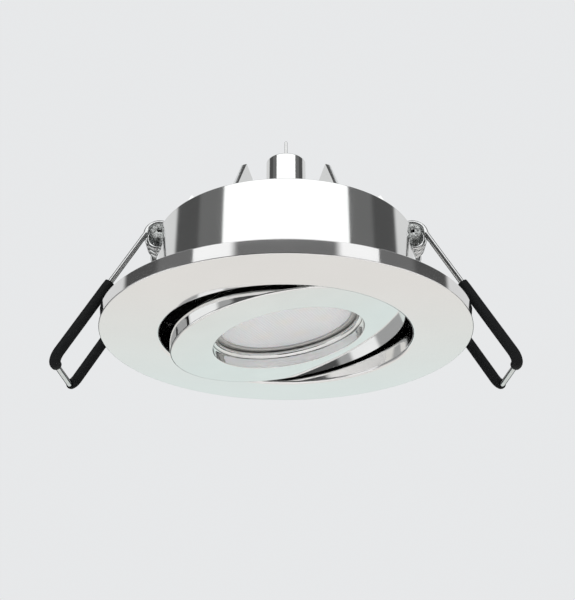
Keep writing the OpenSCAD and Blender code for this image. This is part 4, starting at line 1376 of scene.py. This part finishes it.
def half_spring(s):
    """Points of half a spring's wire, from the inner end of the near coil to the middle of the end bar."""
    per_turn = 40
    count = int(round(per_turn * s.turns))
    start = FULL * s.turns

    def coil(i):
        turn = start * (1 - i / count)
        y = -(s.inner + (s.leg - s.inner) * i / count)
        return Vector((s.coil_radius * math.cos(turn), y, s.coil_radius * math.sin(turn)))

    tail = coil(0) - s.tail * Vector((math.sin(start), 0, -math.cos(start)))
    points = [tail, tail.lerp(coil(0), 0.5)] + [coil(i) for i in range(count + 1)]
    corner, along = leg_line(s)
    points += [corner + along * (0.15 * MM)]
    points += [corner + along * ((s.arm - s.bend) * i / 6) for i in range(1, 6)]
    return points + bend_points(s, 0, math.pi / 2)


def sleeve_path(s, stub):
    """Points of a sleeve's middle line on the near leg, from its upper end round the bend."""
    corner, along = leg_line(s)
    first = s.arm - s.sleeve_run
    points = [corner + along * (first + (s.arm - s.bend - first) * i / 12) for i in range(13)]
    turned_by = math.acos(max(-1.0, 1 - stub / s.bend)) if stub < s.bend else math.pi / 2
    points += bend_points(s, 1, turned_by)
    if stub > s.bend:
        points.append(corner + along * s.arm + Vector((0, stub, 0)))
    return points


class DOWNLIGHT_OT_springs(bpy.types.Operator):
    """Build the two sprung arms, each one wire with two coils, and their black sleeves"""

    bl_idname = "downlight.springs"
    bl_label = "Sprung Arms"

    def execute(self, context):
        s = context.scene.downlight_spring
        for name, side in LEFT_AND_RIGHT:
            near = half_spring(s)
            far = [Vector((p.x, -p.y, p.z)) for p in reversed(near)]
            wire = drawn(bmesh.new(), near + far, s.wire, 18)
            add_piece(
                f"{name}_wire_coiled",
                copied(wire, [arm_place(side)]),
                "spring_steel",
                f"{name}_arm",
                [f"{name}_spring_wire"],
                crease=60,
            )
            mirror = Matrix.Diagonal((1, -1, 1, 1))
            for end, stub, flip in (("near", s.near_stub, UNMOVED), ("far", s.far_stub, mirror)):
                sleeve = drawn(bmesh.new(), sleeve_path(s, stub), s.sleeve, 28, s.sleeve_bore)
                add_piece(
                    f"{name}_{end}_sleeve_fitted",
                    copied(sleeve, [arm_place(side) @ flip]),
                    "black_sleeve",
                    f"{name}_arm",
                    [f"{name}_{end}_sleeve"],
                    crease=40,
                )
        return {"FINISHED"}


class DOWNLIGHT_OT_spring_mounts(bpy.types.Operator):
    """Build the brackets, tubes and rivets that carry the springs"""

    bl_idname = "downlight.spring_mounts"
    bl_label = "Spring Brackets"

    def execute(self, context):
        s = context.scene.downlight_spring
        t = context.scene.downlight_trim
        c = context.scene.downlight_cover
        for name, side in LEFT_AND_RIGHT:
            flip = UNMOVED if side > 0 else FLIPPED
            half = 7.0 * MM
            corner = 1.2 * MM
            height = t.can_top - c.pocket_floor
            flat = [(-half, 0), (half, 0), (half, height), (-half, height)]
            plate = slab(eased(flat, [0.2 * MM, 0.2 * MM, corner, corner], 6), 0, s.bracket, 0.1 * MM)
            stood = Matrix(((0, 0, 1, 0), (1, 0, 0, 0), (0, 1, 0, 0), (0, 0, 0, 1)))
            plate.transform(moved(c.pocket_back, 0, c.pocket_floor) @ stood)
            reach = s.coil_x - c.pocket_back
            r = s.tongue_radius
            steps = 20
            edge = [(0, -r)]
            for i in range(steps + 1):
                turn = -math.pi / 2 + math.pi * i / steps
                edge.append((reach + r * math.cos(turn), r * math.sin(turn)))
            edge.append((0, r))
            tongue = slab(edge, -s.tongue, s.tongue, 0.12 * MM)
            bore = rod(s.tube + CLEARANCE, -MM, MM, 48)
            bore.transform(moved(reach, 0, 0))
            tongue = combined(tongue, [bore])
            tongue.transform(moved(c.pocket_back, 0, s.coil_z) @ spun(90, "X"))
            add_piece(
                f"{name}_bracket_pressed",
                copied(gathered([plate, tongue]), [flip]),
                "spring_plate",
                "can",
                [f"{name}_spring_bracket"],
                crease=30,
            )
            flare = 0.12 * MM
            outline = [
                (s.tube_bore, -s.tube_half),
                (s.tube - flare, -s.tube_half),
                (s.tube, -s.tube_half + flare),
                (s.tube, s.tube_half - flare),
                (s.tube - flare, s.tube_half),
                (s.tube_bore, s.tube_half),
            ]
            axle = turned(bmesh.new(), eased(outline, 0.08 * MM, 3), 56)
            axle.transform(moved(s.coil_x, 0, s.coil_z) @ spun(90, "X"))
            axle = copied(axle, [flip])
            add_piece(f"{name}_tube_rolled", axle, "tumbled_steel", "can", [f"{name}_spring_tube"])
            shank, head, dome = 1.0 * MM, 1.1 * MM, 0.5 * MM
            inside = c.pocket_back - c.pocket_wall
            outside = c.pocket_back + s.bracket
            dome_turns = (0.5, 1.0, 1.35)
            outline = [(0.0, inside - dome)]
            outline += [(head * math.sin(x), inside - dome * math.cos(x)) for x in dome_turns]
            outline += [(head, inside), (shank, inside), (shank, outside), (head, outside)]
            outline += [(head * math.sin(x), outside + dome * math.cos(x)) for x in reversed(dome_turns)]
            outline.append((0.0, outside + dome))
            rivet = turned(bmesh.new(), outline, 32)
            rivet.transform(spun(90, "Y"))
            rivet_half, rivet_height = 5 * MM, c.pocket_floor + 1.5 * MM
            rivets = copied(rivet, [flip @ moved(0, end * rivet_half, rivet_height) for end in SIDES])
            add_piece(f"{name}_rivets_domed", rivets, "steel_screw", "can", [f"{name}_bracket_rivets"])
        return {"FINISHED"}


# Driver parts inside the can


def hook_path(start_y, start_z, end_y, low, top, bend):
    """Points of a lead that drops, runs along +Y and turns up to the board."""
    turns = [math.pi / 2 * i / 8 for i in range(9)]
    path = [(start_y, start_z), (start_y, low + bend)]
    path += [(start_y + bend * (1 - math.cos(a)), low + bend * (1 - math.sin(a))) for a in turns[1:]]
    path += [(end_y - bend + bend * math.sin(a), low + bend * (1 - math.cos(a))) for a in turns]
    path.append((end_y, top))
    return [Vector((0, y, z)) for y, z in path]


def sagging_path(a, b, c, d, count=24):
    """Points of a lead that runs from a to d and is pulled towards b and c."""
    shares = (i / count for i in range(count + 1))
    return [
        a * (1 - t) ** 3 + b * 3 * (1 - t) ** 2 * t + c * 3 * (1 - t) * t**2 + d * t**3 for t in shares
    ]


class DOWNLIGHT_OT_driver(bpy.types.Operator):
    """Build the capacitor, the inductor and the leads inside the can"""

    bl_idname = "downlight.driver"
    bl_label = "Driver Parts"

    def execute(self, context):
        c = context.scene.downlight_cover
        lamp = context.scene.downlight_lamp
        low = low_of("driver_capacitor") * MM
        high = high_of("driver_capacitor") * MM
        r = (high.z - low.z) / 2
        run = high.x - low.x
        outline = eased(
            [
                (0.0, 0.0),
                (r * 0.8, 0.0),
                (r, 0.12 * run),
                (r * 0.93, 0.16 * run),
                (r, 0.2 * run),
                (r, run),
                (r * 0.85, run),
                (r * 0.8, run - 0.2 * MM),
                (0.0, run - 0.2 * MM),
            ],
            0.12 * MM,
            3,
        )
        can = turned(bmesh.new(), outline, 64)
        can.transform(moved(low.x, (low.y + high.y) / 2, (low.z + high.z) / 2) @ spun(90, "Y"))
        add_piece("capacitor_sleeved", can, "capacitor_sleeve", "can", ["driver_capacitor"])
        low = low_of("driver_inductor") * MM
        high = high_of("driver_inductor") * MM
        r = (high.x - low.x) / 2
        middle = (low + high) / 2
        flange = 0.16 * (high.z - low.z)
        outline = [
            (0.0, low.z),
            (r, low.z),
            (r, low.z + flange),
            (r * 0.5, low.z + flange),
            (r * 0.5, high.z - flange),
            (r, high.z - flange),
            (r, high.z),
            (0.0, high.z),
        ]
        core = turned(bmesh.new(), eased(outline, 0.1 * MM, 3), 64)
        core.transform(moved(middle.x, middle.y, 0))
        add_piece("inductor_core", core, "black_chip", "can", ())
        turns = 7
        per_turn = 36
        room = high.z - low.z - 2 * flange
        wire = room / turns / 2
        wound = r * 0.88 - wire
        path = []
        for i in range(turns * per_turn + 1):
            turn = FULL * i / per_turn
            rise = low.z + flange + wire + (room - 2 * wire) * i / (turns * per_turn)
            path.append((middle.x + wound * math.cos(turn), middle.y + wound * math.sin(turn), rise))
        winding = drawn(bmesh.new(), path, wire * 0.97, 10)
        add_piece("inductor_wound", winding, "inductor_winding", "can", ["driver_inductor"], crease=60)
        board = low_of("driver_board").z * MM
        lead = 0.45 * MM
        bend = MM
        level = board - 1.9 * MM
        far = 8.0 * MM
        one = drawn(bmesh.new(), hook_path(4.1 * MM, c.shank_low, far, level, board, bend), lead, 14)
        two = drawn(bmesh.new(), hook_path(0.0, c.pin_low, far, level, board, bend), lead, 14)
        two.transform(spun(180, "Z"))
        feeds = gathered([one, two])
        add_piece("feed_leads_insulated", feeds, "red_lead", "can", ["feed_leads"], crease=60)
        place = lamp_place()
        up = (place.to_3x3() @ Vector((0, 0, 1))).normalized()
        spacing, joint_y, pull = 0.6 * MM, 15.0 * MM, 3 * MM
        pair = []
        for side in SIDES:
            a = place @ Vector((side * spacing, lamp.lead_place, lamp.board_face + MM))
            b = Vector((side * spacing, joint_y, board))
            points = sagging_path(a, a + up * pull, b - Vector((0, 0, pull)), b)
            pair.append(drawn(bmesh.new(), points, lead, 14))
        pair = gathered(pair)
        leads = add_piece("lamp_leads_insulated", pair, "red_lead", None, ["lamp_leads"], crease=60)
        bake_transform(leads)
        return {"FINISHED"}


# Finishes of the frame nodes that no piece takes the place of
KEPT_FINISHES = {
    "connector_nut": "steel_screw",
    "driver_board": "green_board",
    "driver_board_screws": "steel_screw",
    "driver_chips": "black_chip",
    "reflector": "white_plastic",
    "led_board": "white_board",
    "led_board_screws": "steel_screw",
    "thermal_pad": "grey_pad",
    "heat_sink": "bare_aluminium",
    "heat_sink_screws": "steel_screw",
}


class DOWNLIGHT_OT_frame_finishes(bpy.types.Operator):
    """Give every frame node that still shows its finish and softly eased edges"""

    bl_idname = "downlight.frame_finishes"
    bl_label = "Finish Frame Parts"

    def execute(self, context):
        for name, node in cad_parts.items():
            if node.hide_render:
                continue
            finish = KEPT_FINISHES[name]
            node.data.materials.clear()
            node.data.materials.append(FINISHES[finish]())
            ease = node.modifiers.new("eased_edges", "BEVEL")
            ease.width = 0.06 * MM
            ease.segments = 2
            ease.limit_method = "ANGLE"
            ease.angle_limit = math.radians(40)
        return {"FINISHED"}


# Stage

# The studio's tones
TONES = {
    "bright": (1.25, 1.25, 1.25),
    "white": (1.0, 1.0, 1.0),
    "pale": (0.7, 0.7, 0.7),
    "middle": (0.4, 0.4, 0.4),
    "shade": (0.15, 0.15, 0.15),
    "dark": (0.08, 0.08, 0.08),
    "black": (0.015, 0.015, 0.015),
    "warm": (0.8, 0.78, 0.75),
    "cool": (0.75, 0.82, 0.8),
}

# Each card: name, lowest and highest elevation in degrees, first azimuth in degrees from the camera's
# side, then the azimuth that each of its tones ends at
CARDS = (
    (
        "horizon", 4, 22, -180,
        ((-100, "middle"), (-65, "white"), (65, "dark"), (100, "white"), (180, "middle")),
    ),
    ("low_key", 22, 27, -55, ((-30, "white"), (30, "shade"), (55, "white"))),
    ("key", 27, 64, -55, ((55, "bright"),)),
    ("left", 22, 64, -150, ((-110, "pale"), (-80, "dark"), (-55, "shade"))),
    ("right", 22, 64, 55, ((80, "shade"), (110, "dark"), (150, "pale"))),
    ("overhead", 68, 89, -180, ((180, "dark"),)),
)

# The same for the nearer flags
FLAGS = (
    ("flag_ring", -9.9, 4, -112, ((-34, "dark"),)),
    ("flag_behind", -9, 9, 105, ((255, "black"),)),
    ("flag_camera", -10, 4, -34, ((34, "black"),)),
)

# The same for the near card under the lamp
UNDER = (("under", -36, -10, -150, ((-100, "middle"), (-65, "white"), (-50, "middle"), (25, "dark"))),)

# Glow just above the floor: distance behind the lamp in millimetres, tone
GLOW = ((150, "warm"), (450, "warm"), (700, "cool"), (1200, "cool"))

# Soft lamps: name, place and side in metres, power in watts
LAMPS = (
    ("soft_key", (-0.35, -0.75, 0.25), 0.5, 4.0),
    ("soft_fill", (0.6, -0.5, 0.55), 0.6, 3.0),
    ("soft_under", (0.0, -0.22, -0.15), 0.2, 0.26),
)


def glow_material(name):
    """Even glow with the colours that a mesh carries in its tone attribute."""
    material = bpy.data.materials.new(name)
    material.use_nodes = True
    nodes, links = material.node_tree.nodes, material.node_tree.links
    nodes.clear()
    tone = nodes.new("ShaderNodeAttribute")
    tone.attribute_name = "tone"
    glow = nodes.new("ShaderNodeEmission")
    links.new(tone.outputs["Color"], glow.inputs["Color"])
    out = nodes.new("ShaderNodeOutputMaterial")
    links.new(glow.outputs["Emission"], out.inputs["Surface"])
    return material


def add_reflected(name, rows, tones):
    """Glowing sheet from rows of points, one tone for each point, which only its reflections show."""
    shape = bmesh.new()
    grid = [[shape.verts.new(place) for place in row] for row in rows]
    for row, after in zip(grid, grid[1:]):
        for k in range(len(row) - 1):
            shape.faces.new((row[k], row[k + 1], after[k + 1], after[k]))
    mesh = bpy.data.meshes.new(name)
    shape.to_mesh(mesh)
    shape.free()
    carried = mesh.color_attributes.new("tone", "FLOAT_COLOR", "POINT")
    carried.data.foreach_set("color", [value for row in tones for rgb in row for value in (*rgb, 1.0)])
    mesh.materials.append(glow_material(name))
    sheet = bpy.data.objects.new(name, mesh)
    bpy.context.scene.collection.objects.link(sheet)
    sheet.visible_camera = False
    sheet.visible_diffuse = False
    sheet.visible_shadow = False
    sheet.visible_transmission = False


def tone_at(azimuth, parts, blur):
    """Tone of a card at an azimuth, with its edges blurred."""
    tone = Vector(TONES[parts[0][1]])
    for (edge, _), (_, after) in zip(parts, parts[1:]):
        share_past = min(1.0, max(0.0, (azimuth - edge) / blur + 0.5))
        tone = tone.lerp(Vector(TONES[after]), share_past * share_past * (3 - 2 * share_past))
    return tone


def add_cards(cards, distance, blur):
    """Curved cards round the lamp, one for each row of a table."""
    for name, low, high, first, parts in cards:
        last = parts[-1][0]
        count = int(last - first)
        turns = [first + (last - first) * k / count for k in range(count + 1)]
        rows = []
        for k in range(5):
            rise = math.radians(low + (high - low) * k / 4)
            flat, up = distance * math.cos(rise), distance * math.sin(rise)
            rows.append([(flat * math.sin(a), -flat * math.cos(a), up) for a in map(math.radians, turns)])
        tones = [[tone_at(a, parts, blur) for a in turns]] * len(rows)
        add_reflected(f"card_{name}", rows, tones)


def add_lamp(name, place, target, side, level):
    """Soft square lamp aimed at a point."""
    data = bpy.data.lights.new(name, "AREA")
    data.shape = "SQUARE"
    data.size = side
    data.energy = level
    lamp = bpy.data.objects.new(name, data)
    lamp.location = place
    aim = Vector(target) - Vector(place)
    lamp.rotation_euler = aim.to_track_quat("-Z", "Y").to_euler()
    lamp.visible_glossy = False
    bpy.context.scene.collection.objects.link(lamp)


class DOWNLIGHT_OT_stage(bpy.types.Operator):
    """Set up the pale floor, the backdrop, the reflector cards, the soft lamps and the camera"""

    bl_idname = "downlight.stage"
    bl_label = "Stage"

    def execute(self, context):
        s = context.scene.downlight_stage
        world = bpy.data.worlds.new("plain_pale")
        context.scene.world = world
        world.use_nodes = True
        nodes, links = world.node_tree.nodes, world.node_tree.links
        nodes.clear()
        path = nodes.new("ShaderNodeLightPath")
        seen = path.outputs["Is Camera Ray"]
        for kind in ("Is Glossy Ray", "Is Transmission Ray"):
            more = nodes.new("ShaderNodeMath")
            more.operation = "ADD"
            more.use_clamp = True
            links.new(seen, more.inputs[0])
            links.new(path.outputs[kind], more.inputs[1])
            seen = more.outputs["Value"]
        mix = nodes.new("ShaderNodeMixShader")
        links.new(seen, mix.inputs["Fac"])
        for socket, colour, strength in ((1, (1.0, 1.0, 1.0), s.day), (2, s.backdrop, 1.0)):
            light = nodes.new("ShaderNodeBackground")
            light.inputs["Color"].default_value = (*colour, 1.0)
            light.inputs["Strength"].default_value = strength
            links.new(light.outputs["Background"], mix.inputs[socket])
        out = nodes.new("ShaderNodeOutputWorld")
        links.new(mix.outputs["Shader"], out.inputs["Surface"])

        half = s.floor_side / 2
        shape = box_shape((-half, -half, -10 * MM), (half, half, 0.0))
        mesh = bpy.data.meshes.new("pale_floor")
        shape.to_mesh(mesh)
        shape.free()
        f = Finish("pale_floor", s.floor, 0.0, 0.9)
        f.tint(f.noise(0.01, 3.0), 0.99, 1.01)
        f.set(Specular_IOR_Level=0.0)
        mesh.materials.append(f.material)
        floor = bpy.data.objects.new("pale_floor", mesh)
        floor.location = (0, 0, -s.floor_drop)
        context.scene.collection.objects.link(floor)

        add_cards(CARDS, s.card_distance, s.card_blur)
        add_cards(FLAGS, s.flag_distance, s.card_blur)
        add_cards(UNDER, s.under_distance, s.card_blur)
        rows = [[(x, y * MM, -s.glow_drop) for x in (-s.glow_half, s.glow_half)] for y, tone in GLOW]
        add_reflected("glow_floor", rows, [[TONES[tone]] * 2 for y, tone in GLOW])
        middle = (0, 0, 10 * MM)
        for name, place, side, level in LAMPS:
            add_lamp(name, place, middle, side, level)

        data = bpy.data.cameras.new("camera")
        camera = bpy.data.objects.new("camera", data)
        camera.location = (0, -s.camera_back, -s.camera_drop)
        camera.rotation_euler = (math.pi / 2 + s.camera_rise, 0, 0)
        data.lens = s.lens
        data.sensor_width = 36
        data.shift_x = s.shift
        data.clip_start = 0.005
        data.clip_end = 50
        context.scene.collection.objects.link(camera)
        context.scene.camera = camera
        context.scene.view_settings.view_transform = "Standard"
        return {"FINISHED"}


OPERATORS = (
    DOWNLIGHT_OT_stage,
    DOWNLIGHT_OT_trim_ring,
    DOWNLIGHT_OT_can,
    DOWNLIGHT_OT_back_cover,
    DOWNLIGHT_OT_connector,
    DOWNLIGHT_OT_screws,
    DOWNLIGHT_OT_gimbal_ring,
    DOWNLIGHT_OT_lens,
    DOWNLIGHT_OT_light_source,
    DOWNLIGHT_OT_springs,
    DOWNLIGHT_OT_spring_mounts,
    DOWNLIGHT_OT_driver,
    DOWNLIGHT_OT_frame_finishes,
)


class DOWNLIGHT_PT_panel(bpy.types.Panel):
    """Lists the downlight's builders, sizes and colours"""

    bl_idname = "DOWNLIGHT_PT_panel"
    bl_label = "Downlight"
    bl_space_type = "VIEW_3D"
    bl_region_type = "UI"
    bl_category = "Downlight"

    def draw(self, context):
        layout = self.layout
        builders = layout.column(align=True)
        for operator in OPERATORS:
            builders.operator(operator.bl_idname)
        for attribute, group in GROUPS.items():
            sizes = getattr(context.scene, attribute)
            section = layout.box()
            section.label(text=group.__name__)
            for field in group.__annotations__:
                section.prop(sizes, field)


CLASSES = (*GROUPS.values(), *OPERATORS, DOWNLIGHT_PT_panel)


def register():
    """Register the classes, and hang the property groups on the scene."""
    for cls in CLASSES:
        bpy.utils.register_class(cls)
    for attribute, group in GROUPS.items():
        setattr(bpy.types.Scene, attribute, PointerProperty(type=group))


def unregister():
    """Take the property groups and the classes away again."""
    for attribute in GROUPS:
        delattr(bpy.types.Scene, attribute)
    for cls in reversed(CLASSES):
        bpy.utils.unregister_class(cls)


def build_downlight():
    """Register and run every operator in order."""
    register()
    for thing in [o for o in bpy.data.objects if o.type in {"LIGHT", "CAMERA"}]:
        bpy.data.objects.remove(thing)
    for operator in OPERATORS:
        area, name = operator.bl_idname.split(".")
        getattr(getattr(bpy.ops, area), name)()
    bpy.context.view_layer.update()


if __name__ == "__main__":
    build_downlight()
